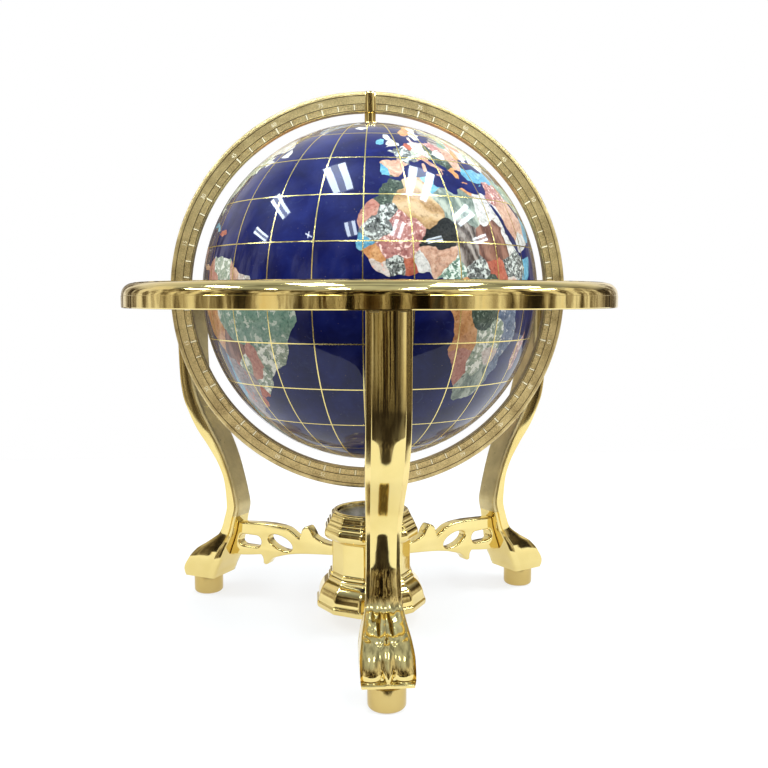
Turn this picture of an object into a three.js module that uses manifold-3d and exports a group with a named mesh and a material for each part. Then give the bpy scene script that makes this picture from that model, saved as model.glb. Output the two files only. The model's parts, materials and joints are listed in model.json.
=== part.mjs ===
// A gemstone globe on a tripod stand, in millimetres, +Z up.
//
// The origin is on the floor under the globe's upright axis. The front leg stands towards -Y, and
// the other two stand a third of a turn to each side. The globe spins in a full meridian ring on
// its polar axles, and the meridian ring turns head over heels on two pins in the horizon ring.
import * as THREE from 'three';
import { mergeVertices } from 'three/addons/utils/BufferGeometryUtils.js';
import Module from 'manifold-3d';

const wasm = await Module();
wasm.setup();

// Driving dimensions
const GAP = 0.3; // clearance between pieces that touch
const GLOBE_R = 165;
const GLOBE_Z = 334.5; // height of the globe's centre, and of the tilt axis
const SKIN = 4; // stone veneer
const CORE = 4; // moulded core behind the veneer
const POLE_HOLE_R = 9;
const BEDDING = 2; // space for the setting compound between veneer and core
const GLOBE_SEGMENTS = 36;

const AXLE_R = 4;
const SPACER_R = 5.5;
const FLANGE_R = 12;
const FLANGE = 1.6;
const BUSH_DEPTH = 15; // how far a pole bushing reaches into the globe

const MERIDIAN_OUTER_R = 197;
const MERIDIAN_INNER_R = 177;
const MERIDIAN_HALF = 5.5; // half of the ring's thickness
const BOSS_R = 7.5;
const RING_SEGMENTS = 48;

const HORIZON_OUTER_R = 240.5;
const HORIZON_INNER_R = 205;
const HORIZON_BOTTOM = 321;
const HORIZON_TOP = 344.5;
const HORIZON_ROUND = 11.5; // radius of the rounded upper outer edge
const HORIZON_WALL = 4.5;
const PIN_R = 3;
const PIN_END = 220; // where the tilt pin ends inside the horizon ring

const LEG_ANGLES = { front: -90, right: 30, left: 150 }; // degrees about +Z from +X
const LEG_BOTTOM = 22;
const TENON = { from: 211, to: 230, half: 15, top: 335 };
const LEG_SCREW = { z: 328, r: 2.5, headR: 5, headLength: 2.4, end: 226 };

const FOOT_RHO = 205; // foot pad's distance from the axis
const FOOT_R = 16;
const FOOT_SCREW = { r: 3, headR: 5.5, sinkR: 6.3, sink: 5, headFrom: 1, end: 38 };

const STRETCHER_HALF = 6; // half of the plate's thickness
const STUD = { z: 79, r: 2.5, from: 140, to: 168 };
const PLINTH_SCREW = { z: 68, r: 2, headR: 4.5, headLength: 2.9, to: 55 };

const PLINTH_SIDES = 12;
const PLINTH_BOTTOM = 18;
const BASE_TOP = 50;
const COLUMN_TOP = 86;
const COLUMN_R = 41; // corner radius of the twelve-sided column
const COLUMN_BORE_R = 36.5;
const CAP_TOP = 113.5;
const RECESS_R = 38.7;
const RECESS_FLOOR = 100;
const TIE_R = 3;

const CASE_R = 37;
const CASE_BORE_R = 33.6;
const GLASS_R = 34.9;
const GLASS_SEAT = 110.3;
const CASE_FLOOR = 105.5;
const NEEDLE_Z = 107.9;
const NEEDLE_REACH = 26;
const COMPASS_SEGMENTS = 24;

// Materials
const metal = (color, roughness) =>
  new THREE.MeshStandardMaterial({ color, roughness, metalness: 1 });
const plain = (color, roughness) =>
  new THREE.MeshStandardMaterial({ color, roughness, metalness: 0 });

const MATERIALS = {
  polishedGold: metal(0xe8cf86, 0.14),
  antiqueGold: metal(0xb3a374, 0.42),
  plainSteel: metal(0xb9bcc0, 0.3),
  lapis: plain(0x1b2459, 0.12),
  core: plain(0xcfc8b6, 0.7),
  dial: plain(0xe9e7de, 0.5),
  needle: metal(0x3d4e78, 0.35),
  glass: new THREE.MeshStandardMaterial({
    color: 0xe8f0f0, roughness: 0.03, metalness: 0, transparent: true, opacity: 0.35,
  }),
};

// Geometry helpers
const radians = THREE.MathUtils.degToRad;

function signedVolume(position, index) {
  const [a, b, c] = [new THREE.Vector3(), new THREE.Vector3(), new THREE.Vector3()];
  let total = 0;
  for (let i = 0; i < index.length; i += 3) {
    a.fromBufferAttribute(position, index[i]);
    b.fromBufferAttribute(position, index[i + 1]);
    c.fromBufferAttribute(position, index[i + 2]);
    total += a.dot(b.cross(c)) / 6;
  }
  return total;
}

// Shares the vertices, drops collapsed triangles and turns the faces outwards.
function closed(geometry) {
  geometry.deleteAttribute('normal');
  geometry.deleteAttribute('uv');
  const merged = mergeVertices(geometry, 1e-4);
  const index = [];
  const source = merged.index.array;
  for (let i = 0; i < source.length; i += 3) {
    const [a, b, c] = [source[i], source[i + 1], source[i + 2]];
    if (a !== b && b !== c && c !== a) index.push(a, b, c);
  }
  if (signedVolume(merged.attributes.position, index) < 0) index.reverse();
  merged.setIndex(index);
  return merged;
}

function solid(geometry) {
  const body = closed(geometry);
  return new wasm.Manifold(new wasm.Mesh({
    numProp: 3,
    vertProperties: new Float32Array(body.attributes.position.array),
    triVerts: new Uint32Array(body.index.array),
  }));
}

function fromSolid(manifold) {
  const { vertProperties, triVerts } = manifold.getMesh();
  const geometry = new THREE.BufferGeometry();
  geometry.setAttribute('position', new THREE.BufferAttribute(vertProperties, 3));
  geometry.setIndex(new THREE.BufferAttribute(triVerts, 1));
  return geometry;
}

function cut(geometry, ...tools) {
  return fromSolid(tools.reduce((body, tool) => body.subtract(solid(tool)), solid(geometry)));
}

function join(...geometries) {
  return fromSolid(geometries.map(solid).reduce((body, other) => body.add(other)));
}

// Turns a profile of [radius, height] points about the upright axis. The first corner faces -Y.
function turned(profile, segments, firstCorner = 0) {
  const points = profile.map(([r, z]) => new THREE.Vector2(r, z));
  return new THREE.LatheGeometry(points, segments, firstCorner).rotateX(Math.PI / 2);
}

// The same for a profile that closes on itself, round a hole.
function turnedRing(profile, segments, firstCorner = 0) {
  return turned([...profile, profile[0]], segments, firstCorner);
}

// Points on an arc of [radius, height], from one angle to another in degrees above level.
function arc(cx, cz, r, from, to, steps) {
  const points = [];
  for (let i = 0; i <= steps; i += 1) {
    const angle = radians(from + ((to - from) * i) / steps);
    points.push([cx + r * Math.cos(angle), cz + r * Math.sin(angle)]);
  }
  return points;
}

// A round bar along local X or up Z.
function barX(r, from, to, z, segments = 12) {
  return new THREE.CylinderGeometry(r, r, to - from, segments)
    .rotateZ(Math.PI / 2)
    .translate((from + to) / 2, 0, z);
}

function barZ(r, from, to, rho = 0, segments = 12) {
  return new THREE.CylinderGeometry(r, r, to - from, segments)
    .rotateX(Math.PI / 2)
    .translate(rho, 0, (from + to) / 2);
}

function block(x0, x1, halfWidth, z0, z1) {
  return new THREE.BoxGeometry(x1 - x0, 2 * halfWidth, z1 - z0)
    .translate((x0 + x1) / 2, 0, (z0 + z1) / 2);
}

// Skins a stack of convex rings of points and closes both ends with a fan.
function loft(rings) {
  const count = rings[0].length;
  const index = [];
  for (let level = 0; level < rings.length - 1; level += 1) {
    for (let i = 0; i < count; i += 1) {
      const a = level * count + i;
      const b = level * count + ((i + 1) % count);
      index.push(a, b, b + count, a, b + count, a + count);
    }
  }
  const last = (rings.length - 1) * count;
  for (let i = 1; i < count - 1; i += 1) {
    index.push(0, i + 1, i, last, last + i, last + i + 1);
  }
  const geometry = new THREE.BufferGeometry();
  geometry.setAttribute('position', new THREE.Float32BufferAttribute(rings.flat(2), 3));
  geometry.setIndex(index);
  return geometry;
}

const part = new THREE.Group();

function add(parent, name, geometry, material) {
  const mesh = new THREE.Mesh(closed(geometry), MATERIALS[material]);
  mesh.name = name;
  parent.add(mesh);
  return mesh;
}

// Globe: a stone veneer on a core of two moulded halves
function sphereArc(r, fromDegrees, toDegrees, steps) {
  return arc(0, 0, r, fromDegrees, toDegrees, steps);
}

function poleAngle(r) {
  return 90 - THREE.MathUtils.radToDeg(Math.asin(POLE_HOLE_R / r));
}

function stoneSkin() {
  const inner = GLOBE_R - SKIN;
  return turnedRing([
    ...sphereArc(GLOBE_R, poleAngle(GLOBE_R), -poleAngle(GLOBE_R), 16),
    ...sphereArc(inner, -poleAngle(inner), poleAngle(inner), 12),
  ], GLOBE_SEGMENTS);
}

function coreHalf() {
  const outer = GLOBE_R - SKIN - BEDDING;
  const inner = outer - CORE;
  const half = GAP / 2;
  return turnedRing([
    ...sphereArc(outer, poleAngle(outer), 5, 4),
    [outer, half],
    [inner, half],
    ...sphereArc(inner, 5, poleAngle(inner), 4),
  ], GLOBE_SEGMENTS);
}

function jointBand() {
  const outer = GLOBE_R - SKIN - BEDDING - CORE - 1.6;
  const inner = outer - 2.5;
  const reach = 12;
  return turnedRing([[outer, -reach], [outer, reach], [inner, reach], [inner, -reach]],
    GLOBE_SEGMENTS);
}

function poleBushing() {
  const seat = GLOBE_R + 0.1;
  const bore = AXLE_R + GAP;
  return turnedRing([
    [bore, GLOBE_R - BUSH_DEPTH],
    [POLE_HOLE_R - GAP, GLOBE_R - BUSH_DEPTH],
    [POLE_HOLE_R - GAP, seat],
    [FLANGE_R, seat],
    [FLANGE_R - 0.8, seat + FLANGE],
    [bore, seat + FLANGE],
  ], 16);
}

// The two ends of the globe are alike: one end is made, and the other is it turned over.
function atPoles(build) {
  for (const [end, turn] of [['north', 0], ['south', Math.PI]]) {
    const pole = new THREE.Group();
    pole.rotation.x = turn;
    build(pole, end);
    globe.add(pole);
  }
}

const globe = new THREE.Group();
globe.position.z = GLOBE_Z;
part.add(globe);

add(globe, 'stone_skin', stoneSkin(), 'lapis');
add(globe, 'joint_band', jointBand(), 'core');
atPoles((pole, end) => {
  add(pole, `core_${end}`, coreHalf(), 'core');
  add(pole, `pole_bushing_${end}`, poleBushing(), 'polishedGold');
});

// Meridian ring, made lying flat and stood up, with a boss for each polar axle
function meridianRing() {
  const outer = MERIDIAN_OUTER_R;
  const half = MERIDIAN_HALF;
  const band = turnedRing([
    [MERIDIAN_INNER_R, -half],
    [outer - 4.5, -half],
    [outer - 1.3, -half + 1.5],
    [outer, -half + 3.5],
    [outer, half - 3.5],
    [outer - 1.3, half - 1.5],
    [outer - 4.5, half],
    [MERIDIAN_INNER_R, half],
  ], RING_SEGMENTS).rotateX(Math.PI / 2);
  const from = MERIDIAN_INNER_R - 0.3;
  const to = outer - 0.1;
  const reach = outer + 5;
  const pinHole = PIN_R + GAP;
  return cut(
    join(band, barZ(BOSS_R, from, to), barZ(BOSS_R, -to, -from)),
    barZ(AXLE_R + GAP, -reach, reach),
    barX(pinHole, outer - 18, reach, 0),
    barX(pinHole, -reach, 18 - outer, 0),
  );
}

function polarSpacer() {
  const bore = AXLE_R + GAP;
  const from = GLOBE_R + 0.1 + FLANGE + GAP;
  const to = MERIDIAN_INNER_R - 2 * GAP;
  return turnedRing([[bore, from], [SPACER_R, from], [SPACER_R, to], [bore, to]], 14);
}

add(globe, 'meridian_ring', meridianRing(), 'antiqueGold');
atPoles((pole, end) => {
  const from = GLOBE_R - BUSH_DEPTH - 2;
  add(pole, `polar_axle_${end}`, barZ(AXLE_R, from, MERIDIAN_OUTER_R - GAP), 'plainSteel');
  add(pole, `polar_spacer_${end}`, polarSpacer(), 'polishedGold');
});

// Horizon ring: an upside-down channel with a solid boss for each tilt pin
function horizonRing() {
  const roof = HORIZON_TOP - 5;
  const outerWall = HORIZON_OUTER_R - HORIZON_WALL;
  const innerWall = HORIZON_INNER_R + HORIZON_WALL;
  const roundCentre = HORIZON_OUTER_R - HORIZON_ROUND;
  const channel = turnedRing([
    [HORIZON_OUTER_R - 2, HORIZON_BOTTOM],
    [HORIZON_OUTER_R, HORIZON_BOTTOM + 2],
    ...arc(roundCentre, HORIZON_TOP - HORIZON_ROUND, HORIZON_ROUND, 0, 90, 3),
    [HORIZON_INNER_R, HORIZON_TOP],
    [HORIZON_INNER_R, HORIZON_BOTTOM],
    [innerWall, HORIZON_BOTTOM],
    [innerWall, roof],
    [roundCentre - 1, roof],
    [outerWall, roof - 7],
    [outerWall, HORIZON_BOTTOM],
  ], RING_SEGMENTS);
  const boss = (side) => block(side * (innerWall - 2), side * (PIN_END + 3), 8, GLOBE_Z - 9, roof + 2);
  const pinHole = (side) => barX(PIN_R + GAP, side * 195, side * (PIN_END + GAP), GLOBE_Z);
  const screwHoles = Object.values(LEG_ANGLES).map((angle) =>
    barX(LEG_SCREW.r + GAP, 195, innerWall + 2, LEG_SCREW.z, 8).rotateZ(radians(angle)));
  return cut(join(channel, boss(1), boss(-1)), pinHole(1), pinHole(-1), ...screwHoles);
}

add(part, 'horizon_ring', horizonRing(), 'polishedGold');

// Tilt pins: each goes through a spacer into the meridian ring
for (const [side, turn] of [['right', 0], ['left', Math.PI]]) {
  const group = new THREE.Group();
  group.rotation.z = turn;
  group.position.z = GLOBE_Z;
  part.add(group);
  add(group, `tilt_pin_${side}`, barX(PIN_R, MERIDIAN_OUTER_R - 16, PIN_END, 0), 'plainSteel');
  const spacer = cut(
    barX(7, MERIDIAN_OUTER_R + 0.4, HORIZON_INNER_R - 1, 0),
    barX(PIN_R + GAP, MERIDIAN_OUTER_R - 5, HORIZON_INNER_R + 5, 0),
  );
  add(group, `tilt_spacer_${side}`, spacer, 'polishedGold');
}

// Legs: level sections stacked up an S-shaped outline, from the sole to the horizon ring.
// Each row is [height, inner edge, outer edge, half width].
const LEG_SECTIONS = [
  [LEG_BOTTOM, 183, 221, 21.5],
  [30, 180, 223, 22.3],
  [42, 174, 217.5, 22.5],
  [54, 169.5, 208, 20.8],
  [64, 165.5, 193, 18],
  [74, 162, 180, 16],
  [88, 158.8, 174.5, 15.2],
  [104, 155, 171, 14.7],
  [118, 157.5, 171.8, 14.8],
  [133, 161.5, 174, 15],
  [150, 167, 181, 15.5],
  [169, 175, 193.5, 16.3],
  [188, 185.5, 208, 17.4],
  [205, 195.5, 217.5, 17.8],
  [223, 203.5, 225, 18],
  [245, 209, 228.5, 18],
  [278, 211, 230, 18],
  [HORIZON_BOTTOM - GAP, 211, 231, 18],
];

// A section has a flat back, flat sides and a domed front.
function legSection([z, inner, outer, half]) {
  const depth = outer - inner;
  const side = [
    [inner, 0.72 * half],
    [inner + 0.18 * depth, half],
    [outer - 0.34 * depth, half],
    [outer - 0.1 * depth, 0.66 * half],
    [outer, 0.25 * half],
  ];
  const mirrored = side.map(([rho, y]) => [rho, -y, z]);
  return [...mirrored, ...side.reverse().map(([rho, y]) => [rho, y, z])];
}

function leg() {
  const shaft = loft(LEG_SECTIONS.map(legSection));
  const tenon = block(TENON.from, TENON.to, TENON.half, HORIZON_BOTTOM - 5, TENON.top);
  return cut(
    join(shaft, tenon),
    barX(LEG_SCREW.r + GAP, TENON.from - 5, LEG_SCREW.end + 1, LEG_SCREW.z, 8),
    barZ(FOOT_SCREW.r + GAP, LEG_BOTTOM - 5, FOOT_SCREW.end + 1, FOOT_RHO, 8),
    barX(STUD.r + GAP, STUD.from, STUD.to + 1, STUD.z, 8),
  );
}

function legScrew() {
  const seat = HORIZON_INNER_R - GAP - 0.4;
  return join(
    barX(LEG_SCREW.headR, seat - LEG_SCREW.headLength, seat, LEG_SCREW.z),
    barX(LEG_SCREW.r, seat - 1, LEG_SCREW.end, LEG_SCREW.z, 8),
  );
}

function footPad() {
  const top = LEG_BOTTOM - GAP;
  const bore = FOOT_SCREW.r + GAP;
  return turnedRing([
    [FOOT_SCREW.sinkR, 0],
    [FOOT_R - 4, 0],
    [FOOT_R - 1.2, 1.8],
    [FOOT_R, 5],
    [FOOT_R, top],
    [bore, top],
    [bore, FOOT_SCREW.sink],
    [FOOT_SCREW.sinkR, FOOT_SCREW.sink],
  ], 18).translate(FOOT_RHO, 0, 0);
}

function footScrew() {
  const seat = FOOT_SCREW.sink - GAP;
  return join(
    barZ(FOOT_SCREW.headR, FOOT_SCREW.headFrom, seat, FOOT_RHO),
    barZ(FOOT_SCREW.r, seat - 1, FOOT_SCREW.end, FOOT_RHO, 8),
  );
}

// Stretchers: pierced scroll plates from the plinth to each leg, drawn in radius and height
function stretcherOutline() {
  const shape = new THREE.Shape();
  const through = (...points) => shape.splineThru(points.map(([x, y]) => new THREE.Vector2(x, y)));
  shape.moveTo(40, 62.4);
  through([75, 59.3], [96, 56], [114, 50.6]);
  shape.quadraticCurveTo(119, 48, 122, 43);
  shape.quadraticCurveTo(125, 40.5, 128, 43);
  shape.quadraticCurveTo(127, 49, 131, 52);
  through([148, 49.5], [171.7, 47]);
  shape.lineTo(169.1, 54);
  shape.lineTo(165.1, 64);
  shape.lineTo(161.6, 74);
  shape.lineTo(159.1, 85);
  through([129, 86.8], [110, 86.6], [97, 84.3], [88, 79]);
  shape.lineTo(82.5, 75.5);
  shape.lineTo(80.3, 81);
  shape.quadraticCurveTo(79, 89.5, 71, 89.5);
  shape.quadraticCurveTo(67, 86, 64.5, 80);
  shape.quadraticCurveTo(56, 74, 40, 73.4);
  shape.lineTo(40, 62.4);
  return shape;
}

function stretcherHoles() {
  const slot = new THREE.Path();
  slot.moveTo(136.7, 72.3);
  slot.absarc(136.7, 66, 6.3, Math.PI / 2, 1.5 * Math.PI, false);
  slot.absarc(153, 66, 6.3, -Math.PI / 2, Math.PI / 2, false);
  const eye = new THREE.Path();
  eye.absellipse(106, 68, 15.5, 7.2, 0, 2 * Math.PI, false, radians(17));
  return [slot, eye];
}

function stretcher() {
  const shape = stretcherOutline();
  shape.holes = stretcherHoles();
  const thickness = 2 * STRETCHER_HALF;
  const plate = new THREE.ExtrudeGeometry(shape, {
    depth: thickness, bevelEnabled: false, curveSegments: 3,
  }).rotateX(Math.PI / 2).translate(0, STRETCHER_HALF, 0);
  return cut(
    plate,
    barX(STUD.r + GAP, STUD.from - 1, STUD.to, STUD.z, 8),
    barX(PLINTH_SCREW.r + GAP, 30, PLINTH_SCREW.to + 1, PLINTH_SCREW.z, 8),
  );
}

const columnApothem = (r) => r * Math.cos(Math.PI / PLINTH_SIDES);

function plinthScrew() {
  const seat = columnApothem(COLUMN_BORE_R) - GAP;
  return join(
    barX(PLINTH_SCREW.headR, seat - PLINTH_SCREW.headLength, seat, PLINTH_SCREW.z),
    barX(PLINTH_SCREW.r, seat - 1, PLINTH_SCREW.to, PLINTH_SCREW.z, 8),
  );
}

for (const [side, angle] of Object.entries(LEG_ANGLES)) {
  const group = new THREE.Group();
  group.rotation.z = radians(angle);
  part.add(group);
  add(group, `leg_${side}`, leg(), 'polishedGold');
  add(group, `leg_screw_${side}`, legScrew(), 'plainSteel');
  add(group, `foot_pad_${side}`, footPad(), 'polishedGold');
  add(group, `foot_screw_${side}`, footScrew(), 'plainSteel');
  add(group, `stretcher_${side}`, stretcher(), 'polishedGold');
  add(group, `stretcher_stud_${side}`, barX(STUD.r, STUD.from, STUD.to, STUD.z, 8), 'plainSteel');
  add(group, `plinth_screw_${side}`, plinthScrew(), 'plainSteel');
}

// Plinth: three hollow twelve-sided castings on a tie rod, each with a face towards each leg
const FIRST_CORNER = Math.PI / PLINTH_SIDES;
const plinthRing = (profile) => turnedRing(profile, PLINTH_SIDES, FIRST_CORNER);

function plinthBase() {
  const top = BASE_TOP - GAP / 2;
  return plinthRing([
    [56.5, PLINTH_BOTTOM],
    [57.5, 19.5],
    [57.5, 23.5],
    [55.8, 25.5],
    [54.6, 31],
    [51.5, 38],
    [47.5, 43.5],
    [45, 46],
    [45, 48],
    [43.5, top],
    [38, top],
    [38, 46],
    [49, 28],
    [51, 23],
    [51, PLINTH_BOTTOM],
  ]);
}

function plinthColumn() {
  const bottom = BASE_TOP + GAP / 2;
  const top = COLUMN_TOP - GAP / 2;
  return cut(
    plinthRing([
      [COLUMN_R + 2, bottom],
      [COLUMN_R + 2, bottom + 2.5],
      [COLUMN_R, bottom + 4.5],
      [COLUMN_R, top],
      [COLUMN_BORE_R, top],
      [COLUMN_BORE_R, bottom],
    ]),
    ...Object.values(LEG_ANGLES).map((angle) =>
      barX(PLINTH_SCREW.r + GAP, 30, 45, PLINTH_SCREW.z, 8).rotateZ(radians(angle))),
  );
}

function plinthCap() {
  const bottom = COLUMN_TOP + GAP / 2;
  return plinthRing([
    [42, bottom],
    [46, 88],
    [49, 91],
    [49, 98],
    [47.5, 99],
    [47.5, 101.5],
    [45, 103],
    [45, 105.5],
    [42.5, 107],
    [42.5, 110],
    [41, 111.5],
    [41, CAP_TOP],
    [RECESS_R, CAP_TOP],
    [RECESS_R, RECESS_FLOOR],
    [TIE_R + 0.5, RECESS_FLOOR],
    [TIE_R + 0.5, RECESS_FLOOR - 5],
    [34, RECESS_FLOOR - 5],
    [36, bottom],
  ]);
}

function bottomPlate() {
  const bottom = PLINTH_BOTTOM + GAP;
  return plinthRing([
    [TIE_R + 0.5, bottom], [50.3, bottom], [50.3, bottom + 3], [TIE_R + 0.5, bottom + 3],
  ]);
}

function tieNut() {
  const top = PLINTH_BOTTOM - GAP;
  const flats = barZ(7, top - 5, top, 0, 6);
  return cut(flats, barZ(TIE_R + GAP, top - 6, top + 1, 0, 12));
}

add(part, 'plinth_base', plinthBase(), 'polishedGold');
add(part, 'plinth_column', plinthColumn(), 'polishedGold');
add(part, 'plinth_cap', plinthCap(), 'polishedGold');
add(part, 'plinth_bottom_plate', bottomPlate(), 'plainSteel');
add(part, 'tie_rod', barZ(TIE_R, PLINTH_BOTTOM - 7, RECESS_FLOOR - GAP, 0, 12), 'plainSteel');
add(part, 'tie_nut', tieNut(), 'plainSteel');

// Compass in the top of the plinth
function compassCase() {
  const bottom = RECESS_FLOOR + GAP;
  const top = CAP_TOP - 0.1;
  return turned([
    [0, bottom], [CASE_R, bottom], [CASE_R, top], [GLASS_R + GAP, top],
    [GLASS_R + GAP, GLASS_SEAT], [CASE_BORE_R, GLASS_SEAT], [CASE_BORE_R, CASE_FLOOR], [0, CASE_FLOOR],
  ], COMPASS_SEGMENTS);
}

function compassDial() {
  const r = CASE_BORE_R - GAP;
  const bottom = CASE_FLOOR + GAP;
  return turnedRing([[2.4, bottom], [r, bottom], [r, bottom + 1], [2.4, bottom + 1]],
    COMPASS_SEGMENTS);
}

function compassPivot() {
  const bottom = CASE_FLOOR + GAP;
  return turned([
    [0, bottom], [2, bottom], [2, bottom + 1.1], [0.6, bottom + 1.3], [0.35, 108.1],
    [0.15, 108.5], [0, 108.5],
  ], 12);
}

function compassGlass() {
  const bottom = GLASS_SEAT + GAP;
  return turned([[0, bottom], [GLASS_R, bottom], [GLASS_R, bottom + 2], [0, bottom + 2]],
    COMPASS_SEGMENTS);
}

function compassBezel() {
  const bottom = CAP_TOP + GAP;
  return turnedRing([
    [33.8, bottom], [38.6, bottom], [38.6, bottom + 0.8], [37.8, bottom + 1.6],
    [33.8, bottom + 1.6],
  ], COMPASS_SEGMENTS);
}

function needleCap() {
  return turned([
    [0, 109], [1.3, 107.4], [2.5, 107.4], [2.5, 109.2], [1.5, 110], [0, 110],
  ], 12);
}

function compassNeedle() {
  const shape = new THREE.Shape();
  shape.moveTo(0, NEEDLE_REACH);
  shape.lineTo(-4.2, 0);
  shape.lineTo(0, -NEEDLE_REACH);
  shape.lineTo(4.2, 0);
  const eye = new THREE.Path();
  eye.absarc(0, 0, 2.8, 0, 2 * Math.PI, false);
  shape.holes = [eye];
  return new THREE.ExtrudeGeometry(shape, { depth: 0.8, bevelEnabled: false, curveSegments: 6 })
    .translate(0, 0, NEEDLE_Z);
}

add(part, 'compass_case', compassCase(), 'polishedGold');
add(part, 'compass_dial', compassDial(), 'dial');
add(part, 'compass_pivot', compassPivot(), 'plainSteel');
add(part, 'compass_needle', compassNeedle(), 'needle');
add(part, 'needle_cap', needleCap(), 'polishedGold');
add(part, 'compass_glass', compassGlass(), 'glass');
add(part, 'compass_bezel', compassBezel(), 'polishedGold');

export default part;
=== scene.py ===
"""A gemstone globe on a tripod stand: the finished surfaces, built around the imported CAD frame.

Sizes are in millimetres until build() turns them into metres. The ball's map is drawn in degrees of
longitude and latitude, and the longitude FRONT_LON faces the front leg, towards -Y.
"""
import json
from math import ceil, cos, dist, exp, floor, hypot, pi, radians, sin

import bmesh
import bpy
import numpy as np
from mathutils import Matrix, Vector, geometry, noise

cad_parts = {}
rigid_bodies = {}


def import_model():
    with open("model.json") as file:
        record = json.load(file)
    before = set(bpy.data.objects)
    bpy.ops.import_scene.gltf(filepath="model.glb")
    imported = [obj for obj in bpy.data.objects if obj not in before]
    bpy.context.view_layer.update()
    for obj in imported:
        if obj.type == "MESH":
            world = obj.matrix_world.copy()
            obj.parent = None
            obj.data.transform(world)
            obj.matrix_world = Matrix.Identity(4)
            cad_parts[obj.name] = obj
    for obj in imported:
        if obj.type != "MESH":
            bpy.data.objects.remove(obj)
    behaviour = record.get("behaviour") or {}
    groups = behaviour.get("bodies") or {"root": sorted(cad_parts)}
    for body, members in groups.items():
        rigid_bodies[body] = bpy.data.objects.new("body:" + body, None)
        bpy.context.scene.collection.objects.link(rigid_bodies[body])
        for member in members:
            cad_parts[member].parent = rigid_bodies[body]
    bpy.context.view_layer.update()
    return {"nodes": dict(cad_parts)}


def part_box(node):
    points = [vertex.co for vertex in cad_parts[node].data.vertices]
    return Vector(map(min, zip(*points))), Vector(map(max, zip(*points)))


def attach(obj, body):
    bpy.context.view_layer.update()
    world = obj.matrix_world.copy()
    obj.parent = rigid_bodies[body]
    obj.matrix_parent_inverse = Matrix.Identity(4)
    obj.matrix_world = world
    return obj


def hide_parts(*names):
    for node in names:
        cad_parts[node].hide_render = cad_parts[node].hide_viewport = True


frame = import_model()

MM = 0.001


def span(node):
    """A CAD node's lowest and highest corners in millimetres."""
    lo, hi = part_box(node)
    return lo / MM, hi / MM


# Driving sizes, read from the frame
SKIN_LO, SKIN_HI = span("stone_skin")
GLOBE_R = SKIN_HI.x
GLOBE_Z = (SKIN_LO.z + SKIN_HI.z) / 2
SKIN_DEPTH = 4
MERIDIAN_OUTER = span("meridian_ring")[1].z - GLOBE_Z
MERIDIAN_HALF = 5.5
MERIDIAN_INNER = 177
SCALE_INNER = 178.3
SCALE_OUTER = 184.5
NUMBERS_R = 188.0
POLE_BORE = 4.3
HORIZON_LO, HORIZON_HI = span("horizon_ring")
HORIZON_INNER = 205
HORIZON_ROUND = 11.5
LEG_BOTTOM = span("leg_front")[0].z
LEG_TOP = HORIZON_LO.z - 0.3
TENON_TOP = 335
FOOT_TOP = span("foot_pad_front")[1].z
FOOT_RHO = 205
FOOT_R = 16
LEG_SCREW_Z = 328
PLINTH_SCREW_Z = 68
STUD_Z = 79
PLINTH_BORE = 36.8

LEG_ANGLES = {"front": -90, "right": 30, "left": 150}
POLES = (("north", 1), ("south", -1))
PLINTH_SIDES = 12
FRONT_LON = -9.2
GRATICULE = 15  # degrees between the brass wires
WHITE = (1, 1, 1)
X, Y, Z = (Vector(axis) for axis in ((1, 0, 0), (0, 1, 0), (0, 0, 1)))
GLOBE_CENTER = Vector((0, 0, GLOBE_Z))
GLOBE_AT = Vector((0, 0, GLOBE_Z * MM))  # the same, in metres
TILE_TONE = "tile_tone"  # each map face carries a tone for the cut tile it lies in
STONE_DEPTH = 0.74  # how dark the stones are under their lacquer


# ---------------------------------------------------------------- small tools
def lerp(a, b, t):
    return a + (b - a) * t


def smoothstep(low, high, x):
    t = min(1.0, max(0.0, (x - low) / (high - low)))
    return t * t * (3 - 2 * t)


def spline(keys, x):
    """A smooth curve through keys of (position, value, ...), with no overshoot, at position x."""
    xs = [k[0] for k in keys]
    x = min(max(x, xs[0]), xs[-1])
    i = max(0, min(len(xs) - 2, int(np.searchsorted(xs, x, side="right")) - 1))
    width = xs[i + 1] - xs[i]
    t = (x - xs[i]) / width

    def slope(j, column):
        if j in (0, len(keys) - 1):
            return 0.0
        before = (keys[j][column] - keys[j - 1][column]) / (xs[j] - xs[j - 1])
        after = (keys[j + 1][column] - keys[j][column]) / (xs[j + 1] - xs[j])
        return 0.0 if before * after <= 0 else 2 * before * after / (before + after)

    values = []
    for column in range(1, len(keys[0])):
        a, b = keys[i][column], keys[i + 1][column]
        m0, m1 = slope(i, column) * width, slope(i + 1, column) * width
        values.append(
            a * (2 * t**3 - 3 * t**2 + 1) + m0 * (t**3 - 2 * t**2 + t)
            + b * (3 * t**2 - 2 * t**3) + m1 * (t**3 - t**2)
        )
    return values


def arc(cx, cy, r, start, end, steps):
    """Points on a circle's arc, from one angle in degrees to another."""
    turns = [radians(lerp(start, end, i / steps)) for i in range(steps + 1)]
    return [(cx + r * cos(a), cy + r * sin(a)) for a in turns]


def quad_curve(a, control, b, steps):
    """Points of a bend from a to b that leans towards control, a among them."""
    ts = [i / steps for i in range(steps + 1)]
    return [tuple((1 - t) ** 2 * a[k] + 2 * t * (1 - t) * control[k] + t**2 * b[k] for k in (0, 1))
            for t in ts]


def weld(verts, faces, tolerance=1e-4):
    """Joins vertices in one place. A face that collapses is left empty."""
    seen, index, kept = {}, [], []
    for v in verts:
        key = tuple(round(c / tolerance) for c in v)
        if key not in seen:
            seen[key] = len(kept)
            kept.append(v)
        index.append(seen[key])
    rings = [tuple(dict.fromkeys(index[i] for i in f)) for f in faces]
    return kept, [ring if len(ring) > 2 else () for ring in rings]


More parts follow.
